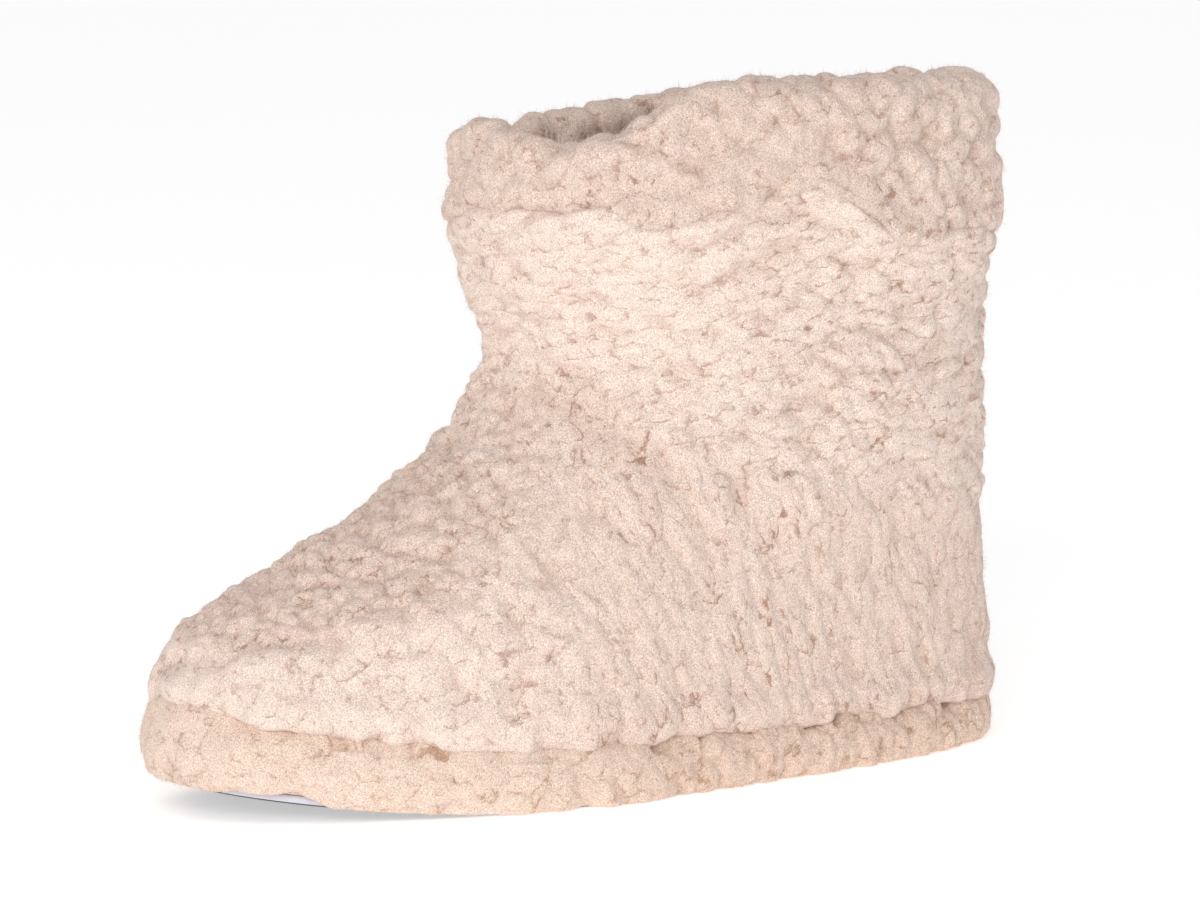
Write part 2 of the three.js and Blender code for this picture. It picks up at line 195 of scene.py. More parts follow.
class SlipperStage(bpy.types.PropertyGroup):
    """Camera and light."""

    azimuth: angle_property("Azimuth", "Camera's turn round the slipper", 149.1)
    elevation: angle_property("Elevation", "Camera's height angle", 7.8)
    roll: angle_property("Roll", "Camera's roll", -0.52)
    distance: length_property("Distance", "Camera to the slipper", 2.236)
    aim_x: length_property("Aim along", "Point aimed at, towards the toe", -0.0065)
    aim_z: length_property("Aim height", "Point aimed at, above the floor", 0.0932)
    pixels_per_metre: bpy.props.FloatProperty(
        name="Pixels per metre",
        description="Scale at the point aimed at, on an image 1200 wide",
        default=3394.0,
    )
    floor: colour_property("Floor", "Plain pale floor", (0.93, 0.93, 0.93))


def blend(low, high, share):
    """Straight blend from low to high."""
    return low + (high - low) * share


def ease(value, low, high):
    """Smooth step: 0 below low, 1 above high, 3t^2 - 2t^3 between them."""
    share = np.clip((value - low) / (high - low), 0, 1)
    return share * share * (3 - 2 * share)


def along(rows, key, column, place):
    """Monotone cubic through one column of a table: Hermite spans whose inner slopes are the harmonic
    mean of their neighbours', or 0 where these differ in sign."""
    knots, values = rows[key], rows[column]
    step = np.diff(knots)
    slope = np.diff(values) / step
    before, after = slope[:-1], slope[1:]
    same = before * after > 0
    inner = np.where(same, 2 * before * after / np.where(same, before + after, 1), 0)
    tangent = np.concatenate([slope[:1], inner, slope[-1:]])
    row = np.clip(np.searchsorted(knots, place) - 1, 0, len(step) - 1)
    u = np.clip((place - knots[row]) / step[row], 0, 1)
    v = 1 - u
    return (
        v * v * (1 + 2 * u) * values[row]
        + u * u * (3 - 2 * u) * values[row + 1]
        + u * v * step[row] * (v * tangent[row] - u * tangent[row + 1])
    )


def unit(vectors):
    """Vectors scaled to length 1."""
    return vectors / np.maximum(np.linalg.norm(vectors, axis=-1, keepdims=True), 1e-12)


def spring_at(size, x):
    """Lift of the sole's underside: a parabola over the last stretch before the toe."""
    share = np.maximum(0, (x - (size.length - size.spring_length)) / size.spring_length)
    return size.toe_spring * share**2


def platform_top(size, x):
    """Height of the platform's top face, x from the heel's end."""
    x = np.clip(x, 0, size.length)
    stack = table(
        "at height",
        (0, size.heel_stack),
        (size.ball_reach, size.ball_stack),
        (size.length, size.toe_stack),
    )
    return along(stack, "at", "height", x) + spring_at(size, x)


def section_point(size, turn, section):
    """A section seen from above: x runs from back to front as (1 - cos) / 2 of the turn, and y is
    the half width times the sine of the turn to the power of the section's bluntness."""
    angle = 2 * np.pi * turn
    share = (1 - np.cos(angle)) / 2
    side = np.sin(angle)
    x = blend(section["back"], section["front"], share)
    place = np.clip(x / size.length, 0, 1)
    plan = np.where(side >= 0, along(PLAN, "at", "outer", place), along(PLAN, "at", "inner", place))
    width = section["half_width"] * blend(1, plan, section["foot"])
    centre = size.ball_width * along(PLAN, "at", "swing", place) * section["foot"]
    y = centre + np.sign(side) * width * np.abs(side) ** section["blunt"]
    z = blend(section["back_height"], section["front_height"], share)
    return np.stack(np.broadcast_arrays(x, y, z), -1)


def outline(size, turn, grow, height):
    """The platform's plan moved out by grow along its level normal, at height(x)."""
    plan = {
        "back": 0.0,
        "front": size.length,
        "half_width": size.ball_width / 2,
        "foot": 1.0,
        "blunt": PLAN_BLUNTNESS,
        "back_height": 0.0,
        "front_height": 0.0,
    }
    step = 1e-3
    here = section_point(size, turn, plan)
    slope = section_point(size, turn + step, plan) - section_point(size, turn - step, plan)
    normal = unit(np.stack([-slope[..., 1], slope[..., 0], np.zeros_like(slope[..., 0])], -1))
    here = here + normal * np.asarray(grow)[..., None]
    here[..., 2] = height(np.clip(here[..., 0], 0, size.length))
    return here


def upper_sections(size):
    """The upper's sections as real sizes, with the share of the way up at which each lies."""
    foot, shaft = FOOT_SECTIONS, SHAFT_SECTIONS
    lift = size.toe_stack + size.toe_spring
    rows = {
        "back": (-foot["heel"] * size.wall, -shaft["heel"] * size.wall),
        "front": (
            blend(size.throat_reach, size.length, foot["front"]),
            blend(size.throat_reach, size.collar_reach, shaft["reach"]),
        ),
        "back_height": (
            blend(size.heel_stack, size.throat_height, foot["heel_rise"]),
            blend(size.throat_height, size.height, shaft["heel_rise"]),
        ),
        "front_height": (
            blend(lift, size.throat_height, foot["rise"]),
            blend(size.throat_height, size.height, shaft["rise"]),
        ),
        "half_width": (size.ball_width / 2 * foot["width"], size.collar_width / 2 * shaft["width"]),
        "foot": (foot["foot"], np.zeros_like(shaft["blunt"])),
        "blunt": (foot["blunt"], shaft["blunt"]),
    }
    rows = {name: np.concatenate(halves) for name, halves in rows.items()}
    front = np.hypot(np.diff(rows["front"]), np.diff(rows["front_height"]))
    back = np.hypot(np.diff(rows["back"]), np.diff(rows["back_height"]))
    climbed = np.concatenate([[0], np.cumsum((front + back) / 2)])
    rows["at"] = climbed / climbed[-1]
    return rows, climbed[-1]


def section_at(rows, up):
    """Section of the upper at each share of the way up, ready to spread over the columns."""
    names = ("back", "front", "back_height", "front_height", "half_width", "foot", "blunt")
    return {name: along(rows, "at", name, up) for name in names}


def face(size, turn, up):
    """Outer face of the upper without its pile, for arrays of turn and up that spread together."""
    rows, _ = upper_sections(size)
    up, turn = np.broadcast_arrays(np.asarray(up, float), np.asarray(turn, float))
    point = section_point(size, turn, section_at(rows, up))
    edge = section_point(size, turn, section_at(rows, np.zeros_like(up)))
    on_sole = platform_top(size, edge[..., 0]) + size.gap - edge[..., 2]
    point[..., 2] += on_sole * (1 - ease(up, 0, EDGE_BAND))
    wrapped = turn - np.floor(turn)
    share = np.where(wrapped <= 0.5, 2 * wrapped, 2 * (1 - wrapped))
    outer, inner = (along(RIM_LINE, "turn", side, share) for side in ("outer", "inner"))
    drop = np.where(wrapped <= 0.5, outer, inner)
    point[..., 2] -= size.cuff_height * drop * ease(up, RIM_START, 1)
    return point


def face_normal(size, turn, up):
    """Outward normal of that face, level at the lower edge."""
    step = 1e-3
    round_ = face(size, turn + step, up) - face(size, turn - step, up)
    climb = face(size, turn, np.minimum(up + step, 1)) - face(size, turn, np.maximum(up - step, 0))
    level = unit(np.stack([-round_[..., 1], round_[..., 0], np.zeros_like(round_[..., 0])], -1))
    free = ease(np.asarray(up, float), 0, EDGE_BAND)[..., None]
    return unit(blend(level, unit(np.cross(climb, round_)), free))


def off_face(size, turn, up, out):
    """The face moved out along its normal. At the lower edge it follows the platform's top."""
    base = face(size, turn, up)
    point = base + face_normal(size, turn, up) * np.asarray(out)[..., None]
    free = ease(np.asarray(up, float), 0, EDGE_BAND)
    point[..., 2] += (platform_top(size, point[..., 0]) - platform_top(size, base[..., 0])) * (1 - free)
    return point


def even_turns(point_at, count):
    """Turns that divide the girth evenly: the inverse of the running length along point_at(turn)."""
    fine = np.linspace(0, 1, 2001)
    points = point_at(fine)
    step = np.linalg.norm(np.diff(points, axis=-2), axis=-1)
    length = np.concatenate([[0], np.cumsum(step.reshape(-1, step.shape[-1]).mean(0))])
    return np.interp(np.arange(count) / count * length[-1], length, fine)


def face_turns(size, piece, low, high, rows):
    """Even turns round the upper's face, as many as the piece has columns, over a stretch up it."""
    up = np.linspace(low, high, rows)[:, None]
    return even_turns(lambda turn: face(size, turn, up), COLUMNS[piece])


class Surface:
    """A grid of points, closed round its columns, with its normals, directions and lengths."""

    def __init__(self, points):
        self.points = points
        around = np.roll(points, -1, 1) - np.roll(points, 1, 1)
        climb = np.gradient(points, axis=0)
        self.normal = unit(np.cross(climb, around))
        self.around = unit(around)
        self.girth = np.linalg.norm(np.roll(points, -1, 1) - points, axis=-1).sum(1)
        rises = np.linalg.norm(np.diff(points, axis=0), axis=-1).mean(1)
        self.climb = np.concatenate([[0], np.cumsum(rises)])

    def pick(self, values, climb, share):
        """Values of the grid at a length up and a share of the way round, blended between points."""
        rows, columns = self.points.shape[:2]
        row = np.interp(climb, self.climb, np.arange(rows))
        low = np.minimum(row.astype(int), rows - 2)
        column = np.mod(share, 1) * columns
        left = np.minimum(column.astype(int), columns - 1)
        right = (left + 1) % columns
        v, u = (row - low)[:, None], (column - left)[:, None]
        lower = values[low, left] * (1 - u) + values[low, right] * u
        upper = values[low + 1, left] * (1 - u) + values[low + 1, right] * u
        return lower * (1 - v) + upper * v


def scatter(cell, salt):
    """A repeatable number from 0 to 1 for each whole-numbered cell: a sine hash."""
    wave = np.sin(cell @ np.array([127.1, 311.7, 74.7]) + salt * 53.3) * 43758.5453
    return wave - np.floor(wave)


def drift(points, size, salt):
    """Smooth noise from 0 to 1: numbers at the corners of a grid in space, eased between them."""
    place = points / size
    cell = np.floor(place)
    share = place - cell
    share = share * share * (3 - 2 * share)
    total = np.zeros(points.shape[:-1])
    for corner in np.ndindex(2, 2, 2):
        weight = np.prod(np.where(np.array(corner), share, 1 - share), -1)
        total += weight * scatter(cell + np.array(corner), salt)
    return total


def drift_vector(points, size, salt):
    """Three such noises as a vector, each from -1 to 1."""
    return np.stack([drift(points, size, salt + k) for k in range(3)], -1) * 2 - 1


class Locks:
    """Locks of fleece in staggered, jittered rows over a surface, each with a heart, a direction, a
    length, a width and a lift."""

    def __init__(self, surface, lay, seed):
        self.surface = surface
        self.count = max(2, round(surface.climb[-1] / LOCK_PITCH))
        middles = (np.arange(self.count) + 0.5) * surface.climb[-1] / self.count
        girth = np.interp(middles, surface.climb, surface.girth)
        self.each = np.maximum(4, np.round(girth / LOCK_PITCH)).astype(int)
        self.first = np.concatenate([[0], np.cumsum(self.each)[:-1]])
        row = np.repeat(np.arange(self.count), self.each)
        total = len(row)
        place = np.arange(total) - self.first[row]
        rng = np.random.default_rng(seed)
        climb = (row + 0.5 + 0.9 * (rng.random(total) - 0.5)) * surface.climb[-1] / self.count
        share = (place + 0.5 * (row % 2) + 0.9 * (rng.random(total) - 0.5)) / self.each[row]
        self.heart = surface.pick(surface.points, climb, share)
        normal = unit(surface.pick(surface.normal, climb, share))
        around = unit(surface.pick(surface.around, climb, share))
        forward = around * np.where(around[:, :1] >= 0, 1, -1)
        uphill = np.cross(forward, normal) * np.where(normal[:, 1:2] < 0, 1, -1)
        uphill = uphill * np.where(uphill[:, 2:] < 0, -1, 1)
        made = lay(self.heart, normal)
        angle = np.radians(made["lean"] + made["spread"] * (2 * rng.random(total) - 1))
        self.along = forward * np.cos(angle)[:, None] + uphill * np.sin(angle)[:, None]
        self.across = np.cross(normal, self.along)
        self.length = made["length"] * (0.7 + 0.6 * rng.random(total))
        self.width = made["width"] * (0.7 + 0.6 * rng.random(total))
        self.power = 0.9 * (rng.random(total) - 0.5)
        self.power = np.where(rng.random(total) < made["keep"], self.power, -50.0)
        self.lift = rng.random(total)

    def comb(self, points, reach):
        """Height of the locks over each grid point: log-sum-exp, a rounded greatest value, of
        power - (x / length)^2 - (y / width)^2 over the locks near it, with their own lifts blended by
        the same weights."""
        rows, columns = points.shape[:2]
        share = np.arange(columns) / columns
        climb = self.surface.climb / self.surface.climb[-1] * self.count
        weight = np.full((rows, columns), 1e-12)
        lifted = np.zeros((rows, columns))
        for down in range(-reach, reach + 1):
            row = np.floor(climb).astype(int) + down
            inside = ((row >= 0) & (row < self.count))[:, None]
            row = np.clip(row, 0, self.count - 1)
            each = self.each[row][:, None]
            for over in range(-reach, reach + 1):
                lock = self.first[row][:, None] + (np.floor(share * each).astype(int) + over) % each
                gap = points - self.heart[lock]
                x = (gap * self.along[lock]).sum(-1) / self.length[lock]
                y = (gap * self.across[lock]).sum(-1) / self.width[lock]
                near = np.maximum(self.power[lock] - x * x - y * y, -5)
                part = np.exp(LOCK_SHARPNESS * near) * inside
                weight += part
                lifted += part * (self.lift[lock] + 0.3 * np.clip(x, -1, 1))
        return np.log(weight) / LOCK_SHARPNESS, lifted / weight


LOCK_PITCH = 0.0046
LOCK_SHARPNESS = 6.0

# How the pile lies on each region. keep: share of the locks kept. lean: their direction, in degrees
# from forwards to uphill. spread: chance turn either way. length, width, height: of one lock. flat, fine
# and combed: the kind of small clump. calm: how faint the partings are, to which the shaft adds its own.
# painted shade: share of the darker tint, heaviest on the heel, the quarter and the band's back, half on the
# vamp's top.
LAY_COLUMNS = "keep lean spread length width height flat fine combed calm shade".split()
LAYS = {
    "shaft": (0.55, -5, 22, 0.0066, 0.0030, 0.0012, 1, 0, 0, 0, 0),
    "vamp": (0.95, 40, 90, 0.0036, 0.0029, 0.0015, 0, 1, 0, 0, 0.5),
    "toe": (0.42, 80, 40, 0.0068, 0.0056, 0.0018, 0, 0, 0, 0.45, 0.1),
    "heel": (0.40, 88, 15, 0.0060, 0.0034, 0.0008, 0, 0, 0.4, 0.60, 1.0),
    "quarter": (0.48, 64, 14, 0.0110, 0.0034, 0.0014, 0, 0, 1, 0, 0.9),
    "cuff": (0.55, 20, 70, 0.0062, 0.0046, 0.0024, 0, 0, 0, 0, 0),
    "band_toe": (0.42, 85, 45, 0.0078, 0.0066, 0.0020, 0, 0, 0, 0.4, 0.1),
    "band_back": (0.65, 80, 20, 0.0060, 0.0032, 0.0022, 0, 0, 0, 0, 0.9),
    "lining": (0.90, 0, 90, 0.0034, 0.0030, 0.0010, 0, 1, 0, 0, 0),
}


def mixed(**shares):
    """Each column of LAYS, blended by the regions' shares at each point."""
    total = sum(shares.values())
    return {
        name: sum(share * LAYS[region][column] for region, share in shares.items()) / total
        for column, name in enumerate(LAY_COLUMNS)
    }


def upper_lay(points, normal):
    """How the pile lies on the upper: wide flat clumps round the shaft, small curls over the vamp,
    large tufts on the toe's side, combed locks on the quarter and short upright pile at the heel."""
    x, z = points[..., 0], points[..., 2]
    line = np.interp(x, [-0.13, -0.01, 0.02], [0.070, 0.096, 0.118])
    shaft = ease(z - line, -0.012, 0.016)
    vamp = ease(normal[..., 2], 0.40, 0.68) * (1 - shaft)
    toe = ease(x, 0.005, 0.06) * (1 - shaft) * (1 - vamp)
    heel = ease(-x, 0.085, 0.11) * (1 - shaft)
    quarter = np.clip(1 - shaft - vamp - toe - heel, 0, 1)
    lay = mixed(shaft=shaft, vamp=vamp, toe=toe, heel=heel, quarter=quarter)
    total = shaft + vamp + toe + heel + quarter
    lay["calm"] += shaft * blend(0.1, 0.6, ease(x, -0.07, 0)) / total
    return lay


def cuff_lay(points, normal):
    """Round tufts of all sizes on the cuff, with painted shade in front."""
    lay = mixed(cuff=np.ones(points.shape[:-1]))
    lay["shade"] = 0.9 * (1 - ease(-points[..., 0], 0.04, 0.10))
    return lay


def band_lay(points, normal):
    """Large tufts at the toe, narrow upright locks towards the heel, where shade is painted."""
    toe = ease(points[..., 0], -0.01, 0.05)
    return mixed(band_toe=toe, band_back=1 - toe)


def lining_lay(points, normal):
    """Short even curls."""
    return mixed(lining=np.ones(points.shape[:-1]))


def fleece(surface, lay, swelling, seed):
    """Height of the pile over a surface and what its material needs at each point: a slow swell, and
    the locks' rounded heights and lifts, looked up at points shaken by noise."""
    points = surface.points
    swept = points + 0.0016 * drift_vector(points, 0.009, seed)
    swept = swept + 0.0007 * drift_vector(points, 0.003, seed + 3)
    local = lay(points, surface.normal)
    locks = Locks(surface, lay, seed)
    dome, lift = locks.comb(swept, 3)
    swell = 0.62 * drift(points, 0.024, seed + 42) + 0.38 * drift(points, 0.011, seed + 43) - 0.5
    dome = np.clip(dome, -1.8, 0.6)
    rise = swelling * swell + local["height"] * (dome + 0.55 + 0.6 * (lift - 0.5))
    # The deep value is painted shade: in the hollows between the locks and on the lower ones.
    deep = np.clip(-0.75 * dome - 0.35, 0, 1) + 0.2 * (0.5 - lift)
    patchy = 0.5 * drift(points, 0.0075, seed + 40) + 0.5 * drift(points, 0.021, seed + 41)
    # The tint is painted shade by region, from the lay, plus tone at random.
    tint = local["shade"] + 0.3 * drift(points, 0.035, seed + 44) + 0.3 * drift(swept, 0.007, seed + 45)
    # How strongly the partings' painted shade shows, in patches.
    crisp = ease(patchy, 0.2, 0.7) * (1 - local["calm"])
    zone = np.stack([local["flat"], local["fine"], local["combed"]], -1)
    return rise, {"deep": deep, "crisp": crisp, "tint": tint, "zone": zone}


def add_mesh(name, points, faces):
    """An object in the scene, from points and faces."""
    mesh = bpy.data.meshes.new(name)
    mesh.from_pydata(points, [], faces)
    obj = bpy.data.objects.new(name, mesh)
    bpy.context.scene.collection.objects.link(obj)
    return obj


def solid(name, rings, hoop):
    """Closed mesh through rings of points, rows by columns by 3. Hoop: the last ring joins the first.
    Otherwise both ends are closed by strips from side to side."""
    rows, columns = rings.shape[:2]
    spans = rows if hoop else rows - 1
    here = np.arange(spans)[:, None] * columns
    up = ((np.arange(spans) + 1) % rows)[:, None] * columns
    one = np.arange(columns)
    two = (one + 1) % columns
    faces = np.stack([here + one, here + two, up + two, up + one], -1).reshape(-1, 4)
    if not hoop:
        half = columns // 2
        one = np.arange(half)
        near, far = one, (columns - one) % columns
        near_next, far_next = one + 1, columns - one - 1
        strip = np.stack([near, far, far_next, near_next], -1)
        last = (rows - 1) * columns
        faces = np.concatenate([faces, strip, last + strip[:, ::-1]])
    obj = add_mesh(name, rings.reshape(-1, 3), [list(dict.fromkeys(f)) for f in faces.tolist()])
    mesh = obj.data
    mesh.validate()
    mesh.polygons.foreach_set("use_smooth", np.ones(len(mesh.polygons), bool))
    mesh.update()
    return obj


def put(obj, name, values, kind="FLOAT"):
    """Stores one value, or one vector, for each point of a piece."""
    attribute = obj.data.attributes.new(name, kind, "POINT")
    field = "vector" if kind == "FLOAT_VECTOR" else "value"
    attribute.data.foreach_set(field, np.ascontiguousarray(values, np.float32).ravel())


def centred(size, points):
    """Moves points from the heel's end to the row's origin."""
    return points - np.array([size.length / 2, 0, 0])


def seat(obj, material, slot, *nodes):
    """Gives a piece its material, lets it ride on the body and stand for its CAD nodes."""
    obj.data.materials.append(material)
    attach(obj, "root")
    if nodes:
        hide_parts(*nodes)


CELLS = 165  # clumps to the metre in the fleece's texture


class Nodes:
    """Short ways to lay a material's nodes."""

    def __init__(self, name):
        self.material = bpy.data.materials.new(name)
        self.material.use_nodes = True
        self.tree = self.material.node_tree
        self.shader = self.tree.nodes["Principled BSDF"]

    def add(self, kind, **settings):
        """A node with its settings; a setting whose name is a socket's sets or links that socket."""
        node = self.tree.nodes.new(kind)
        for name, value in settings.items():
            if hasattr(node, name):
                setattr(node, name, value)
            else:
                self.feed(node.inputs[name.replace("_", " ")], value)
        return node

    def feed(self, socket, value):
        """Links an output to a socket, or sets the socket's value."""
        if isinstance(value, bpy.types.NodeSocket):
            self.tree.links.new(value, socket)
        else:
            socket.default_value = value

    def math(self, operation, *values, clamp=False):
        """One math node's output."""
        node = self.add("ShaderNodeMath", operation=operation, use_clamp=clamp)
        for socket, value in zip(node.inputs, values):
            self.feed(socket, value)
        return node.outputs[0]

    def bell(self, value, width):
        """exp(-(value / width)^2)."""
        scaled = self.math("DIVIDE", value, width)
        return self.math("EXPONENT", self.math("MULTIPLY", self.math("MULTIPLY", scaled, scaled), -1.0))

    def noises(self, place, scale, detail, roughness):
        """Noise from 0 to 1, scale cells to the metre, as a number (Fac) and as a colour."""
        node = self.add("ShaderNodeTexNoise", Scale=scale, Detail=detail, Roughness=roughness)
        self.feed(node.inputs["Vector"], place)
        return node.outputs

    def noise(self, place, scale, detail=2.0, roughness=0.5):
        """Plain noise as a number."""
        return self.noises(place, scale, detail, roughness)["Fac"]

    def cells(self, place, feature):
        """Voronoi cells of one clump each."""
        node = self.add("ShaderNodeTexVoronoi", feature=feature)
        self.feed(node.inputs["Vector"], place)
        node.inputs["Scale"].default_value = CELLS
        return node

    def attribute(self, name):
        """A value stored at each point of the piece."""
        return self.add("ShaderNodeAttribute", attribute_name=name).outputs["Fac"]

    def mix(self, share, first, second, kind="RGBA"):
        """Blend of two colours, or of two vectors or numbers if kind says so."""
        node = self.add("ShaderNodeMix", data_type=kind)
        first_socket = {"FLOAT": 2, "VECTOR": 4, "RGBA": 6}[kind]
        self.feed(node.inputs[0], share)
        self.feed(node.inputs[first_socket], first)
        self.feed(node.inputs[first_socket + 1], second)
        return node.outputs[{"FLOAT": 0, "VECTOR": 1, "RGBA": 2}[kind]]

    def mapped(self, place, lean, scale):
        """Coordinates turned so that their first axis leans from +X towards +Z, then scaled."""
        node = self.add("ShaderNodeMapping", vector_type="TEXTURE")
        self.feed(node.inputs["Vector"], place)
        node.inputs["Rotation"].default_value = (0, -math.radians(lean), 0)
        node.inputs["Scale"].default_value = tuple(1 / value for value in scale)
        return node.outputs[0]


def rgba(colour, scale=1.0):
    """A colour with alpha 1, made lighter or darker by scale."""
    return (*(min(1.0, channel * scale) for channel in colour), 1.0)


def fleece_material(name, crown, crevice_shade):
    """Fleece. Small clumps are the cells of a Voronoi texture, flat round the shaft, fine over the vamp
    and long on the combed quarter, as the zone attribute says, with noise shaking their outlines. A
    cell's dome, chance lift and drooping lower end give relief. Partings are painted shade in the crevice
    colour where two hearts are as near, most under a clump, in stretches, with pits of painted shade
    where three are. The deep attribute paints shade into the hollows between the large locks, the tint
    attribute paints shade by region, the fine zone gets a little more painted shade, and fuzz is fine
    noise in both colour and relief."""
    made = Nodes(name)
    place = made.add("ShaderNodeTexCoord").outputs["Object"]
    zone = made.add("ShaderNodeSeparateXYZ")
    made.feed(zone.inputs[0], made.add("ShaderNodeAttribute", attribute_name="zone").outputs["Vector"])
    patch = made.noise(place, 130, 1.0, 0.5)
    wisp = made.noise(place, 800, 2.0, 0.6)
    flat, fine, combed = (
        made.math("GREATER_THAN", made.math("MULTIPLY_ADD", patch, 0.8, share), 0.9)
        for share in zone.outputs[:3]
    )
    lay = made.mapped(place, 0, (0.80, 0.80, 0.80))
    for share, lean, scale in (
        (flat, -4, (0.72, 0.72, 1.6)),
        (fine, 0, (1.4, 1.4, 1.4)),
        (combed, 64, (0.50, 1.3, 1.4)),
    ):
        lay = made.mix(share, lay, made.mapped(place, lean, scale), "VECTOR")
    sized = made.add("ShaderNodeVectorMath", operation="SCALE")
    made.feed(sized.inputs[0], lay)
    small = made.math("GREATER_THAN", patch, 0.53)
    made.feed(sized.inputs["Scale"], made.math("MULTIPLY_ADD", small, -0.35, 1.0))
    lay = sized.outputs[0]
    fuzz = made.noise(place, 2500, 1.0, 0.7)
    shake = made.noises(place, 280, 2.5, 0.6)
    shaken = made.add("ShaderNodeVectorMath", operation="MULTIPLY_ADD")
    made.feed(shaken.inputs[0], shake["Color"])
    shaken.inputs[1].default_value = (0.0036, 0.0036, 0.0036)
    made.feed(shaken.inputs[2], lay)
    cells = made.cells(shaken.outputs[0], "F1")
    beyond = made.cells(shaken.outputs[0], "F2")
    near = cells.outputs["Distance"]
    aside = made.add("ShaderNodeVectorMath", operation="SUBTRACT")
    made.feed(aside.inputs[0], cells.outputs["Position"])
    made.feed(aside.inputs[1], shaken.outputs[0])
    aside_parts = made.add("ShaderNodeSeparateXYZ")
    made.feed(aside_parts.inputs[0], aside.outputs[0])
    droop = made.mix(combed, aside_parts.outputs["Z"], aside_parts.outputs["X"], "FLOAT")
    droop = made.math("MULTIPLY", droop, CELLS)

    # Painted shade in the crevice colour: thin dark lines along the partings, shown most under a clump's
    # drooping lower end and in stretches, soft halos round them, pits where three cells meet, and the deep
    # attribute's shade in the hollows. The wisp noise adds tone at random.
    apart = made.math("SUBTRACT", beyond.outputs["Distance"], near)
    stretch = made.math("MULTIPLY_ADD", shake["Fac"], 6.0, -2.45, clamp=True)
    under = made.math("MULTIPLY_ADD", droop, 1.4, 0.50, clamp=True)
    broad = made.math("MULTIPLY_ADD", flat, 0.04, 0.045)
    line = made.bell(apart, made.math("MULTIPLY_ADD", stretch, 0.05, broad))
    halo = made.bell(apart, 0.35)
    often = made.math("MULTIPLY_ADD", made.attribute("crisp"), 0.6, 0.45)
    shown = made.math("MULTIPLY", made.math("MULTIPLY", stretch, under), often)
    shown = made.math("MULTIPLY_ADD", shown, 1.0, 0.07)
    pit = made.math("MULTIPLY", made.math("MULTIPLY_ADD", near, 5.0, -3.4, clamp=True), 0.10)
    dark = made.math("MULTIPLY_ADD", halo, 0.20, made.math("MULTIPLY", line, 0.80))
    dark = made.math("MULTIPLY", made.math("ADD", dark, pit), shown)
    dark = made.math("MULTIPLY_ADD", made.attribute("deep"), 0.18, dark)
    # A little more painted shade over the fine zone, chiefly the vamp's top, which faces up away from the
    # light.
    dark = made.math("MULTIPLY_ADD", fine, 0.08, dark)
    dark = made.math("ADD", dark, made.math("MULTIPLY_ADD", wisp, 0.30, -0.15), clamp=True)
    # A blend towards the darker tint: painted shade by region, and tone at random.
    pale = made.mix(made.attribute("tint"), rgba(crown), rgba(blend_colour(crown, crevice_shade, 0.20)))
    grain = made.add("ShaderNodeHueSaturation")
    made.feed(grain.inputs["Color"], made.mix(dark, pale, rgba(crevice_shade)))
    made.feed(grain.inputs["Value"], made.math("MULTIPLY_ADD", fuzz, 1.6, 0.2))
    made.feed(made.shader.inputs["Base Color"], grain.outputs["Color"])

    lift = made.math("MULTIPLY", cells.outputs["Color"], 0.35)
    dome = made.math("SUBTRACT", lift, made.math("MULTIPLY", near, near))
    dome = made.math("MULTIPLY_ADD", droop, 0.5, dome)
    relief = made.math("MULTIPLY_ADD", wisp, 0.45, made.math("MULTIPLY_ADD", fuzz, 0.35, dome))
    bump = made.add("ShaderNodeBump", Strength=0.8, Distance=0.0010)
    made.feed(bump.inputs["Height"], relief)
    made.feed(made.shader.inputs["Normal"], bump.outputs["Normal"])
    set_cloth(made.shader, crown)
    return made.material


def blend_colour(first, second, share):
    """Straight blend of two colours."""
    return tuple(blend(a, b, share) for a, b in zip(first, second))


def set_inputs(node, **values):
    """Sets a node's sockets by their names, with underscores for spaces."""
    for name, value in values.items():
        node.inputs[name.replace("_", " ")].default_value = value


def set_cloth(shader, tint):
    """Constant sockets of a soft matt cloth."""
    set_inputs(
        shader,
        Roughness=1.0,
        Specular_IOR_Level=0.15,
        Sheen_Weight=0.25,
        Sheen_Roughness=0.6,
        Sheen_Tint=rgba(tint),
        Subsurface_Weight=0.25,
        Subsurface_Radius=(1.0, 0.55, 0.4),
        Subsurface_Scale=0.002,
    )


def fibre_material(name, colour):
    """Loose fibres: light, soft, slightly varied."""
    made = Nodes(name)
    place = made.add("ShaderNodeTexCoord").outputs["Object"]
    noise = made.noise(place, 300)
    made.feed(made.shader.inputs["Base Color"], made.mix(noise, rgba(colour), rgba(colour, 0.88)))
    set_cloth(made.shader, colour)
    return made.material


def sheet_material(name, side, under):
    """Outsole: a pale sheet whose underside, where the normal looks down, is dark rubber with grain."""
    made = Nodes(name)
    place = made.add("ShaderNodeTexCoord").outputs["Object"]
    facing = made.add("ShaderNodeNewGeometry").outputs["Normal"]
    split = made.add("ShaderNodeSeparateXYZ")
    made.feed(split.inputs[0], facing)
    below = made.math("LESS_THAN", split.outputs["Z"], -0.5)
    noise = made.noise(place, 900)
    pale = made.mix(noise, rgba(side), rgba(side, 0.85))
    made.feed(made.shader.inputs["Base Color"], made.mix(below, pale, rgba(under)))
    bump = made.add("ShaderNodeBump", Strength=0.4, Distance=0.0002)
    made.feed(bump.inputs["Height"], noise)
    made.feed(made.shader.inputs["Normal"], bump.outputs["Normal"])
    set_inputs(made.shader, Roughness=0.75)
    return made.material


def dress(obj, pile, hidden):
    """Stores what the fleece material reads on a piece, with zeros on its hidden last rings."""
    for name, values in pile.items():
        rest = np.zeros((hidden, *values.shape[1:]))
        kind = "FLOAT" if values.ndim == 2 else "FLOAT_VECTOR"
        put(obj, name, np.concatenate([values, rest]), kind)


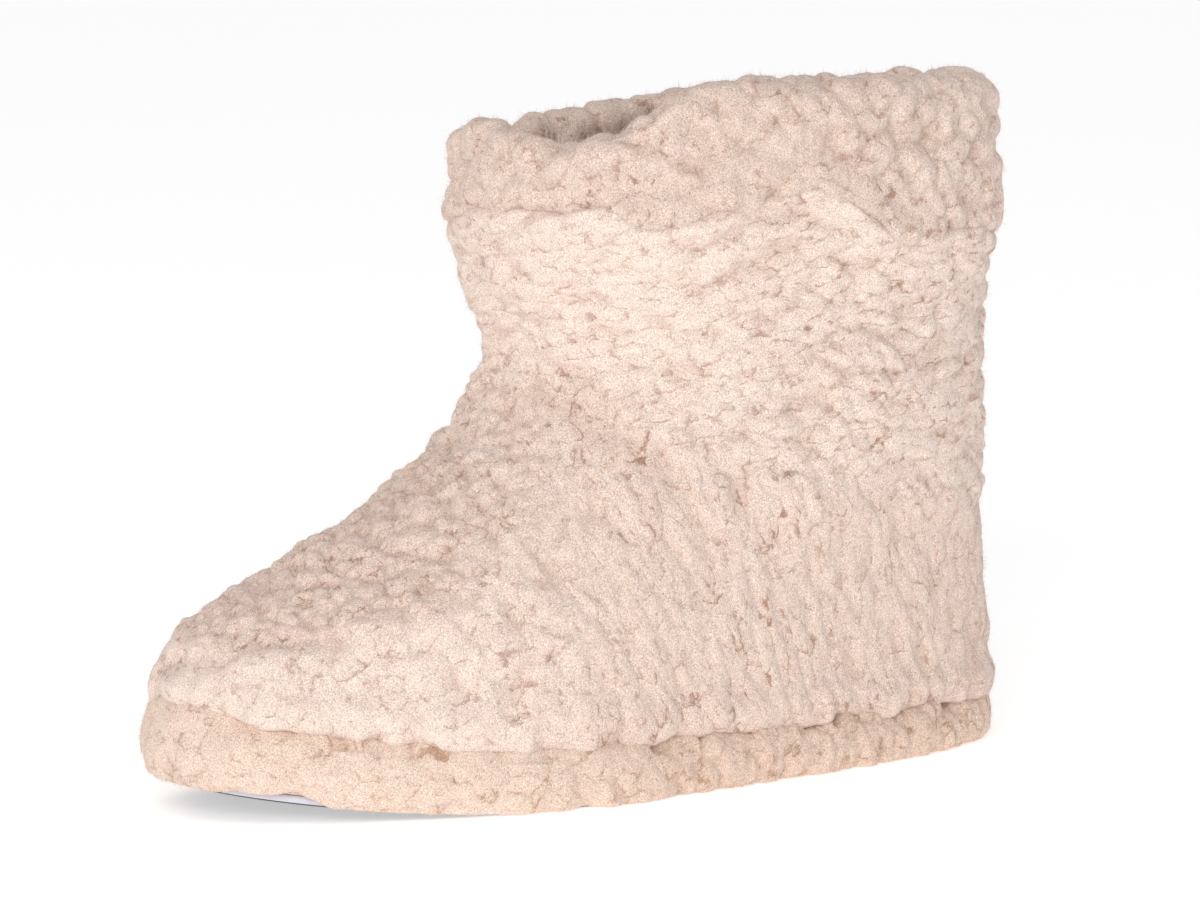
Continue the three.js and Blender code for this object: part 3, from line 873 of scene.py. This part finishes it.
def fibres(name, points, normals, count, length, seed):
    """Loose fibres as closed needles: three base points on a small circle under the surface and a tip
    at the end of a direction mixed from the normal, the lock's own and chance."""
    rng = np.random.default_rng(seed)
    columns = points.shape[1]
    cross = np.cross(points[1:] - points[:-1], np.roll(points, -1, 1)[:-1] - points[:-1])
    area = np.linalg.norm(cross, axis=-1).ravel()
    cell = rng.choice(area.size, count, p=area / area.sum())
    row, column = np.divmod(cell, columns)
    u, v = rng.random((2, count, 1))
    right = (column + 1) % columns
    spot = (
        points[row, column] * (1 - u) * (1 - v)
        + points[row, right] * u * (1 - v)
        + points[row + 1, column] * (1 - u) * v
        + points[row + 1, right] * u * v
    )
    normal = normals[row, column]
    chance = rng.normal(size=(count, 3)) * 0.5
    direction = unit(0.45 * normal + chance)
    side = unit(np.cross(direction, rng.normal(size=(count, 3))))
    other = np.cross(direction, side)
    reach = length * (0.4 + 0.9 * rng.random((count, 1)))
    root = spot - 0.0003 * normal
    angle = 2 * np.pi * np.arange(3) / 3
    base = root[:, None] + FIBRE_THICKNESS / 2 * (
        side[:, None] * np.cos(angle)[None, :, None] + other[:, None] * np.sin(angle)[None, :, None]
    )
    tip = spot + direction * reach
    vertices = np.concatenate([base, tip[:, None]], 1).reshape(-1, 3)
    vertices[:, 2] = np.maximum(vertices[:, 2], 0.0002)
    start = 4 * np.arange(count)[:, None]
    faces = np.concatenate([start + np.array(f) for f in ((0, 1, 3), (1, 2, 3), (2, 0, 3), (2, 1, 0))])
    return add_mesh(name, vertices, faces.tolist())


def add_fibres(piece, skin, normals, material_name, colour, slot):
    """Strews a piece's skin with its loose fibres."""
    loose = fibres(piece + "_fibres", skin, normals, *FIBRES[piece])
    seat(loose, fibre_material(material_name, colour), slot)


# Loose fibres: their count, usual length and seed.
FIBRES = {"upper": (34000, 0.0020, 21), "cuff": (16000, 0.0022, 41), "band": (14000, 0.0018, 71)}
FIBRE_THICKNESS = 0.00013

SHORT = 0.3  # swell of the short pile inside, as a share of the outer pile's
SEEDS = {"upper": 11, "cuff": 31, "lining": 51, "band": 61, "footbed": 81}
COLUMNS = {"upper": 640, "cuff": 560, "band": 640, "lining": 320, "footbed": 260, "outsole": 320}
ROWS = {"upper": 280, "cuff": 122, "band": 78, "lining": 100}

HIDDEN_HEM = 0.006  # how far the upper's skin goes on under the cuff
SLIVER = 0.03  # of a row
# Painted shade in the creases, as their depth grows.
CREASE_SHADE = 220  # to the metre of depth
GROOVE_TOP = 0.006  # of the groove inside the cuff, below the rim
HEM_WOBBLE = 0.0050  # of the cuff's lower edge
HEM_WAVE = 0.0085
LINING_TOP = 0.004  # share of the way up from the lining's top to the facing's edge

# Height of the folded cuff below or above its usual edge, from the back over the outer side and home.
HEM_LINE = table(
    "turn drop",
    (0.000, 0.009),
    (0.080, 0.010),
    (0.141, 0.010),
    (0.198, 0.012),
    (0.225, 0.004),
    (0.254, -0.003),
    (0.283, 0.001),
    (0.322, 0.004),
    (0.345, 0.005),
    (0.388, -0.008),
    (0.435, -0.008),
    (0.550, -0.004),
    (0.660, 0.003),
    (0.780, -0.004),
    (0.900, 0.007),
    (1.000, 0.012),
)


def levels(size):
    """Places up the shaft: the cuff's lower edge and the facing's edge."""
    _, climb = upper_sections(size)
    return 1 - size.cuff_height / climb, 1 - size.facing_height / climb


def hem_at(size, turn):
    """Place up the shaft of the cuff's wavy lower edge."""
    _, climb = upper_sections(size)
    cuff_edge, _ = levels(size)
    return cuff_edge - along(HEM_LINE, "turn", "drop", turn - np.floor(turn)) / climb


# Creases, and lumps where the depth is negative: depth, width, then points along each, in metres. In
# order: the ankle's outer and inner fold, the toe's fold, a short slit high and one low on the outer
# side, two lumps over quarter and heel, a lump at the shaft's front, the instep's hollow, the vamp's lump
# and the fold under the quarter's lump.
CREASES = (
    (
        0.0030,
        0.0060,
        (0.024, 0.022, 0.118),
        (0.014, 0.035, 0.110),
        (0.006, 0.041, 0.103),
        (-0.003, 0.047, 0.090),
    ),
    (0.0022, 0.0050, (0.024, -0.022, 0.118), (0.012, -0.036, 0.109), (0.002, -0.042, 0.100)),
    (
        0.0024,
        0.0045,
        (0.133, -0.009, 0.043),
        (0.129, 0.006, 0.047),
        (0.118, 0.018, 0.052),
        (0.102, 0.031, 0.053),
    ),
    (0.0018, 0.0030, (-0.077, 0.054, 0.165), (-0.080, 0.053, 0.158)),
    (0.0020, 0.0028, (-0.096, 0.035, 0.033), (-0.100, 0.032, 0.018)),
    (-0.0024, 0.0110, (-0.050, 0.050, 0.082), (-0.068, 0.050, 0.078)),
    (-0.0022, 0.0080, (-0.094, 0.040, 0.080), (-0.105, 0.036, 0.079)),
    (-0.0036, 0.0140, (0.029, -0.012, 0.134), (0.031, -0.010, 0.120)),
    (0.0030, 0.0120, (0.047, -0.008, 0.099), (0.062, -0.008, 0.088)),
    (-0.0024, 0.0120, (0.088, -0.008, 0.076), (0.092, -0.008, 0.074)),
    (0.0016, 0.0040, (-0.035, 0.052, 0.074), (-0.060, 0.052, 0.067), (-0.078, 0.050, 0.070)),
)


def creased(points):
    """Depth of the creases at each point: each is a bell of the distance from its broken line."""
    depth = np.zeros(points.shape[:-1])
    for most, width, *line in CREASES:
        near = np.full(points.shape[:-1], 1.0)
        for start, end in zip(np.array(line[:-1]), np.array(line[1:])):
            span = end - start
            share = np.clip((points - start) @ span / (span @ span), 0, 1)
            near = np.minimum(near, np.linalg.norm(points - start - share[..., None] * span, axis=-1))
        depth += most * np.exp(-((near / width) ** 2))
    return depth


def skin_over(surface, out):
    """A surface moved out along its normals."""
    return surface.points + surface.normal * out[..., None]


def hem_relief(points, turn, below):
    """Swelling of the shaft's pile towards the cuff's edge, less at the very front and back, and the
    share of the relief that is left where the skin dives under the cuff."""
    swelling = 0.0046 + 0.0030 * drift(points, 0.017, 6)
    swelling = swelling * (1 - 0.75 * ease(np.abs(np.cos(2 * np.pi * turn)), 0.75, 1))
    return swelling * np.exp(-((np.maximum(below, 0) / 0.014) ** 2)), ease(below, -0.0055, 0.0)


def upper_skin(size, turn, up, hem, rise, crease, surface):
    """Outer skin of foot and shaft: the pile less its creases, an overhang with a ragged, sagging edge
    over the band, and the swelling at the cuff."""
    _, climb = upper_sections(size)
    meet, tuck = hem_relief(surface.points, turn, (hem - up) * climb)
    ragged = drift(surface.points, 0.008, 5)
    overhang = (0.0020 + 0.0030 * ragged) * np.exp(-(((up - 0.02) / 0.025) ** 2))
    edge = np.exp(-((up / 0.006) ** 2))
    out = (rise - crease + meet + overhang) * tuck * (1 - edge) - 0.0015 * (1 - tuck)
    skin = skin_over(surface, out)
    skin[..., 2] -= 0.0045 * np.exp(-(((up - 0.010) / 0.012) ** 2)) * (ragged + 0.15)
    return skin


def build_upper(size, finish):
    """Outer skin of foot and shaft, closed behind by a plain inner face that the lining covers. It is
    made as two pieces that meet at one row. Each goes on a sliver beyond it, so that their shading
    agrees there."""
    _, climb = upper_sections(size)
    turn = face_turns(size, "upper", 0, 0.85, 12)
    hem = hem_at(size, turn)[None, :]
    up = np.linspace(0, 1, ROWS["upper"])[:, None] * (hem + HIDDEN_HEM / climb)
    surface = Surface(centred(size, face(size, turn, up)))
    surface.normal = face_normal(size, turn, up)
    rise, pile = fleece(surface, upper_lay, finish.swell, SEEDS["upper"])
    crease = creased(surface.points)
    # The creases get painted shade by their depth.
    pile["deep"] = pile["deep"] + np.clip(crease, 0, 1) * CREASE_SHADE
    skin = upper_skin(size, turn, up, hem, rise, crease, surface)
    material = fleece_material("upper_fleece", finish.fleece, finish.crevice_shade)
    top = ROWS["upper"] - 1
    half = ROWS["upper"] // 2
    for name, first, last in (("fleece_foot", 0, half), ("fleece_shaft", half, top)):
        rows = np.concatenate([[first], np.arange(first, last + 1), [last]])
        rings = skin[rows]
        rings[0] = blend(skin[first], skin[max(first - 1, 0)], SLIVER)
        rings[-1] = blend(skin[last], skin[min(last + 1, top)], SLIVER)
        back = blend(up[first], up[last], np.linspace(1, 0, 9)[:, None])
        inner = off_face(size, turn, back, np.full(back.shape, -0.5 * size.wall))
        obj = solid(name, np.concatenate([rings, centred(size, inner)]), True)
        dress(obj, {key: values[rows] for key, values in pile.items()}, len(back))
        seat(obj, material, "upper_fleece", "upper")
    add_fibres("upper", skin, surface.normal, "loose_fibre", finish.fleece, "upper_fleece")


def cuff_profile(size, count):
    """The cuff's round section: up the outer turn, over a half round roll and down the facing, as
    lengths below the rim and distances out of its face."""
    outer = size.gap + size.cuff_thickness
    inner = size.pressed_wall + size.gap + size.facing_thickness
    radius = (outer + inner) / 2
    lip = np.radians(np.linspace(-90, 0, 8))[:-1]
    low = size.cuff_height
    arc = np.linspace(0, np.pi, 24)[1:-1]
    below = np.concatenate(
        [
            low - 0.5 * outer * (1 + np.sin(lip)),
            np.linspace(low - 0.5 * outer, radius, 20),
            radius - radius * np.sin(arc),
            np.linspace(radius, size.facing_height, 14),
        ]
    )
    out = np.concatenate(
        [
            outer * (0.15 + 0.85 * np.cos(lip)),
            np.full(20, outer),
            (outer - inner) / 2 + radius * np.cos(arc),
            np.full(14, -inner),
        ]
    )
    run = np.concatenate([[0], np.cumsum(np.hypot(np.diff(below), np.diff(out)))])
    place = np.linspace(0, run[-1], count)
    return np.interp(place, run, below), np.interp(place, run, out)


def build_cuff(size, finish):
    """Fleece folded over the shaft's top edge: outer turn, roll and facing, closed by its groove."""
    _, climb = upper_sections(size)
    cuff_edge, facing_edge = levels(size)
    below, out = cuff_profile(size, ROWS["cuff"])
    turn = face_turns(size, "cuff", cuff_edge, 1, 4)
    drop = (cuff_edge - hem_at(size, turn)) * climb
    ring = centred(size, face(size, turn, np.full((1, 1), cuff_edge)))[0]
    drop = drop + HEM_WOBBLE * (drift(ring, HEM_WAVE, 34) - 0.5)
    outside = np.arange(ROWS["cuff"]) < np.argmin(below)
    stretch = np.where(outside, ease(below, 0.4 * size.cuff_height, size.cuff_height), 0)
    up = 1 - (below[:, None] + stretch[:, None] * drop) / climb
    slim = 0.35 * stretch[:, None] * ease(np.cos(2 * np.pi * turn), 0.7, 1)
    surface = Surface(centred(size, off_face(size, turn, up, out[:, None] * (1 - slim))))
    rise, pile = fleece(surface, cuff_lay, finish.swell, SEEDS["cuff"])
    row = np.linspace(0, 1, ROWS["cuff"])[:, None]
    free = (0.5 + 0.5 * ease(row, 0, 0.05)) * (1 - 0.5 * ease(row, 0.75, 0.9))
    free = free * (1 - ease(row, 0.96, 1))
    skin = skin_over(surface, rise * free)
    roll = 0 * drop + 1 - GROOVE_TOP / climb
    groove_up = np.stack([0 * drop + facing_edge, roll, roll, up[0]])
    groove_out = np.array([-size.pressed_wall, -size.pressed_wall, 0.0, 0.0])[:, None]
    groove = off_face(size, turn, groove_up, np.broadcast_to(groove_out, groove_up.shape))
    obj = solid("fleece_cuff", np.concatenate([skin, centred(size, groove)]), True)
    dress(obj, pile, 4)
    material = fleece_material("cuff_fleece", finish.cuff, finish.crevice_shade)
    seat(obj, material, "upper_fleece", "cuff")
    add_fibres("cuff", skin, surface.normal, "loose_cuff_fibre", finish.cuff, "upper_fleece")


def short_fleece(name, finish):
    """Material of the short pile inside, with paler painted shade in its partings than outside."""
    return fleece_material(name, finish.lining, blend_colour(finish.lining, finish.crevice_shade, 0.6))


def build_lining(size, finish):
    """Short pile inside the upper, from the facing's edge down to the footbed."""
    _, facing_edge = levels(size)
    top = facing_edge - LINING_TOP
    up = np.linspace(top, 0.0, ROWS["lining"])[:, None]
    turn = face_turns(size, "lining", 0, facing_edge, 12)
    flat = np.ones((len(up), len(turn)))
    surface = Surface(centred(size, off_face(size, turn, up, -size.wall * flat)))
    rise, pile = fleece(surface, lining_lay, SHORT * finish.swell, SEEDS["lining"])
    row = np.linspace(0, 1, ROWS["lining"])[:, None]
    free = ease(row, 0, 0.04) * (1 - ease(row, 0.9, 1))
    back = np.linspace(0, top, 16)[:, None]
    wall = -(0.5 * size.wall + size.gap)
    outer = centred(size, off_face(size, turn, back, np.full((len(back), len(turn)), wall)))
    obj = solid("lining", np.concatenate([skin_over(surface, rise * free), outer]), True)
    dress(obj, pile, len(back))
    material = short_fleece("lining_fleece", finish)
    seat(obj, material, "upper_fleece", "upper")


# Section of the band's side, from its underside over the drooping lower edge to its top. out: beyond
# the platform's edge. up: share of its height. droop: how much of the droop the point takes.
BAND_SECTION = table(
    "run out up droop",
    (0.00, -0.0070, 0.00, 0.0),
    (0.08, -0.0028, 0.00, 0.0),
    (0.16, -0.0022, 0.00, 0.8),
    (0.26, -0.0004, 0.00, 1.0),
    (0.38, 0.0018, 0.12, 0.6),
    (0.55, 0.0028, 0.42, 0.1),
    (0.70, 0.0018, 0.72, 0.0),
    (0.82, -0.0006, 0.95, 0.0),
    (0.90, -0.0028, 1.02, 0.0),
    (1.00, -0.0060, 1.00, 0.0),
)
BAND_DROOP = 0.0034


def build_band(size, finish):
    """Fleece-wrapped side of the platform: a swollen side whose pile hangs over the outsole's edge,
    except for a stretch near the toe on the outer side."""
    bottom = lambda x: spring_at(size, x) + size.outsole_thickness + size.gap
    turn = even_turns(lambda t: outline(size, t, 0.0, bottom), COLUMNS["band"])
    run = np.linspace(0, 1, ROWS["band"])[:, None]
    out, level, droop = (along(BAND_SECTION, "run", name, run) for name in ("out", "up", "droop"))
    height = lambda x: blend(bottom(x), platform_top(size, x), level)
    spread = np.broadcast_to(out, (len(run), len(turn)))
    points = centred(size, outline(size, turn[None, :] + 0 * run, spread, height))
    bare = np.exp(-(((points[..., 0] - 0.114) / 0.010) ** 2)) * (points[..., 1] > 0)
    droop = droop * (1 - 0.7 * ease(-points[..., 0], 0.08, 0.12))
    points[..., 2] -= BAND_DROOP * droop * (0.70 + 0.30 * drift(points, 0.014, 64)) * (1 - 1.5 * bare)
    surface = Surface(points)
    rise, pile = fleece(surface, band_lay, finish.swell, SEEDS["band"])
    skin = skin_over(surface, rise * ease(run, 0.12, 0.30) * (1 - ease(run, 0.86, 1)))
    skin[..., 2] = np.maximum(skin[..., 2], spring_at(size, skin[..., 0] + size.length / 2) + 0.0004)
    obj = solid("platform_band", skin, False)
    dress(obj, pile, 0)
    material = fleece_material("band_fleece", finish.band, finish.band_crevice_shade)
    seat(obj, material, "band_fleece", "midsole")
    rows = slice(14, -10)
    normals = surface.normal[rows]
    add_fibres("band", skin[rows], normals, "loose_band_fibre", finish.band, "band_fleece")


def build_footbed(size, finish):
    """Fleece footbed: a side with a rounded edge, and rings that close in on the middle line."""
    turn = face_turns(size, "footbed", 0, 0, 1)
    inset = size.wall + size.gap
    edge = np.array([0, 0.4, 0.75, 1, 1])
    lift = np.array([0, 0.35, 0.75, 0.95, 1.0])
    inset = inset + size.footbed_thickness * np.array([0, 0, 0.1, 0.3, 0.5])
    rings = off_face(size, turn, np.zeros((len(edge), 1)), -inset[:, None] * np.ones((1, len(turn))))
    middle = rings[-1].copy()
    middle[:, 1] = size.ball_width * along(PLAN, "at", "swing", np.clip(middle[:, 0] / size.length, 0, 1))
    close = np.linspace(0, 0.985, 40)[1:, None, None]
    points = np.concatenate([rings, blend(rings[-1], middle, close)])
    lift = np.concatenate([lift, np.ones(39)])[:, None]
    points[..., 2] = platform_top(size, points[..., 0]) + size.gap + lift * size.footbed_thickness
    surface = Surface(centred(size, points))
    rise, pile = fleece(surface, lining_lay, SHORT * finish.swell, SEEDS["footbed"])
    obj = solid("footbed", skin_over(surface, np.minimum(rise, 0.0006) * ease(lift, 0.3, 1)), False)
    dress(obj, pile, 0)
    material = short_fleece("footbed_fleece", finish)
    seat(obj, material, "footbed_fleece", "insole")


def build_outsole(size, finish):
    """Thin sheet under the platform with a softly rounded edge."""
    turn = even_turns(lambda t: outline(size, t, -OUTSOLE_INSET, lambda x: 0 * x), COLUMNS["outsole"])
    level = np.array([0, 0.05, 0.25, 0.5, 0.75, 0.95, 1])[:, None]
    grow = -OUTSOLE_INSET - 0.0006 * np.abs(2 * level - 1) ** 4
    height = lambda x: spring_at(size, x) + level * size.outsole_thickness
    spread = np.broadcast_to(grow, (len(level), len(turn)))
    points = outline(size, turn[None, :] + 0 * level, spread, height)
    obj = solid("outsole_sheet", centred(size, points), False)
    seat(obj, sheet_material("outsole_sheet", finish.sheet, finish.tread), "outsole_sheet", "outsole")


def build_stage(stage):
    """White floor, soft world light, a large key light by the camera, and the camera itself."""
    scene = bpy.context.scene
    scene.view_settings.view_transform = "Standard"
    back = camera_axis(stage.azimuth, stage.elevation)
    target = Vector((stage.aim_x, 0, stage.aim_z))
    half = 6.0
    corners = [(-half, -half, 0), (half, -half, 0), (half, half, 0), (-half, half, 0)]
    ground = add_mesh("floor", corners, [(0, 1, 2, 3)])
    paint = Nodes("floor_paint")
    place = paint.add("ShaderNodeTexCoord").outputs["Object"]
    noise = paint.noise(place, 2.0)
    pale = paint.mix(noise, rgba(stage.floor), rgba(stage.floor, 0.985))
    paint.feed(paint.shader.inputs["Base Color"], pale)
    set_inputs(paint.shader, Roughness=0.9, Specular_IOR_Level=0.1)
    set_inputs(paint.shader, Emission_Color=(1, 1, 1, 1), Emission_Strength=FLOOR_GLOW)
    ground.data.materials.append(paint.material)

    world = bpy.data.worlds.new("studio")
    scene.world = world
    world.use_nodes = True
    set_inputs(world.node_tree.nodes["Background"], Color=(1, 1, 1, 1), Strength=SURROUND)

    for name, azimuth, elevation, distance, width, watts in LIGHTS:
        lamp = bpy.data.lights.new(name, "AREA")
        lamp.shape = "DISK"
        lamp.size = width
        lamp.energy = watts
        light = bpy.data.objects.new(name, lamp)
        direction = camera_axis(math.radians(azimuth), math.radians(elevation))
        light.location = target + direction * distance
        light.rotation_mode = "QUATERNION"
        light.rotation_quaternion = direction.to_track_quat("Z", "Y")
        scene.collection.objects.link(light)

    lens = bpy.data.cameras.new("camera")
    camera = bpy.data.objects.new("camera", lens)
    scene.collection.objects.link(camera)
    lens.sensor_width = 36
    lens.lens = stage.pixels_per_metre * stage.distance * lens.sensor_width / PHOTO_WIDTH
    lens.clip_end = 50
    right = (-back).cross(Vector((0, 0, 1))).normalized()
    upward = right.cross(-back)
    turn = Matrix.Rotation(stage.roll, 3, back)
    right, upward = turn @ right, turn @ upward
    camera.matrix_world = Matrix.Translation(target + back * stage.distance) @ Matrix(
        (right, upward, back)
    ).transposed().to_4x4()
    scene.camera = camera


PHOTO_WIDTH = 1200  # pixels
SURROUND = 0.55  # brightness all round
FLOOR_GLOW = 0.45  # of the white floor, as of a lit table

# Lights: name, azimuth and elevation in degrees, distance and width in metres, watts.
LIGHTS = (
    ("key", 142, 18, 2.2, 1.2, 21.0),
    ("fill", 105, 12, 2.2, 1.4, 3.0),
)


def camera_axis(azimuth, elevation):
    """Direction from the slipper to a camera or light."""
    return Vector(
        (
            math.sin(azimuth) * math.cos(elevation),
            -math.cos(azimuth) * math.cos(elevation),
            math.sin(elevation),
        )
    )


class SLIPPER_OT_stage(bpy.types.Operator):
    """Lays the floor, the lights and the camera"""

    bl_idname = "slipper.stage"
    bl_label = "Stage"

    def execute(self, context):
        build_stage(context.scene.slipper_stage)
        return {"FINISHED"}


class SLIPPER_OT_outsole(bpy.types.Operator):
    """Lays the thin outsole"""

    bl_idname = "slipper.outsole"
    bl_label = "Outsole"

    def execute(self, context):
        build_outsole(context.scene.slipper_sizes, context.scene.slipper_finish)
        return {"FINISHED"}


class SLIPPER_OT_band(bpy.types.Operator):
    """Wraps the platform in fleece"""

    bl_idname = "slipper.band"
    bl_label = "Platform band"

    def execute(self, context):
        build_band(context.scene.slipper_sizes, context.scene.slipper_finish)
        return {"FINISHED"}


class SLIPPER_OT_footbed(bpy.types.Operator):
    """Lays the fleece footbed"""

    bl_idname = "slipper.footbed"
    bl_label = "Footbed"

    def execute(self, context):
        build_footbed(context.scene.slipper_sizes, context.scene.slipper_finish)
        return {"FINISHED"}


class SLIPPER_OT_lining(bpy.types.Operator):
    """Lines the upper with short pile"""

    bl_idname = "slipper.lining"
    bl_label = "Lining"

    def execute(self, context):
        build_lining(context.scene.slipper_sizes, context.scene.slipper_finish)
        return {"FINISHED"}


class SLIPPER_OT_upper(bpy.types.Operator):
    """Builds the upper's fleece skin"""

    bl_idname = "slipper.upper"
    bl_label = "Upper"

    def execute(self, context):
        build_upper(context.scene.slipper_sizes, context.scene.slipper_finish)
        return {"FINISHED"}


class SLIPPER_OT_cuff(bpy.types.Operator):
    """Rolls the fleece cuff over the rim"""

    bl_idname = "slipper.cuff"
    bl_label = "Cuff"

    def execute(self, context):
        build_cuff(context.scene.slipper_sizes, context.scene.slipper_finish)
        return {"FINISHED"}


class SLIPPER_PT_sidebar(bpy.types.Panel):
    """Sizes, finish and pieces of the slipper"""

    bl_label = "Bootie slipper"
    bl_idname = "SLIPPER_PT_sidebar"
    bl_space_type = "VIEW_3D"
    bl_region_type = "UI"
    bl_category = "Slipper"

    def draw(self, context):
        for group in ("slipper_sizes", "slipper_finish", "slipper_stage"):
            box = self.layout.box()
            settings = getattr(context.scene, group)
            for name in settings.__annotations__:
                box.prop(settings, name)
        for operator in OPERATORS:
            self.layout.operator(operator.bl_idname)


GROUPS = {
    "slipper_sizes": SlipperSizes,
    "slipper_finish": SlipperFinish,
    "slipper_stage": SlipperStage,
}
OPERATORS = (
    SLIPPER_OT_outsole,
    SLIPPER_OT_band,
    SLIPPER_OT_footbed,
    SLIPPER_OT_lining,
    SLIPPER_OT_upper,
    SLIPPER_OT_cuff,
    SLIPPER_OT_stage,
)
CLASSES = (*GROUPS.values(), *OPERATORS, SLIPPER_PT_sidebar)


def register():
    """Registers the classes and hangs the property groups on the scene."""
    for item in CLASSES:
        bpy.utils.register_class(item)
    for name, group in GROUPS.items():
        setattr(bpy.types.Scene, name, bpy.props.PointerProperty(type=group))


def unregister():
    """Takes them away again."""
    for name in GROUPS:
        delattr(bpy.types.Scene, name)
    for item in reversed(CLASSES):
        bpy.utils.unregister_class(item)


def main():
    register()
    bpy.ops.slipper.stage()
    bpy.ops.slipper.outsole()
    bpy.ops.slipper.band()
    bpy.ops.slipper.footbed()
    bpy.ops.slipper.lining()
    bpy.ops.slipper.upper()
    bpy.ops.slipper.cuff()


if __name__ == "__main__":
    main()
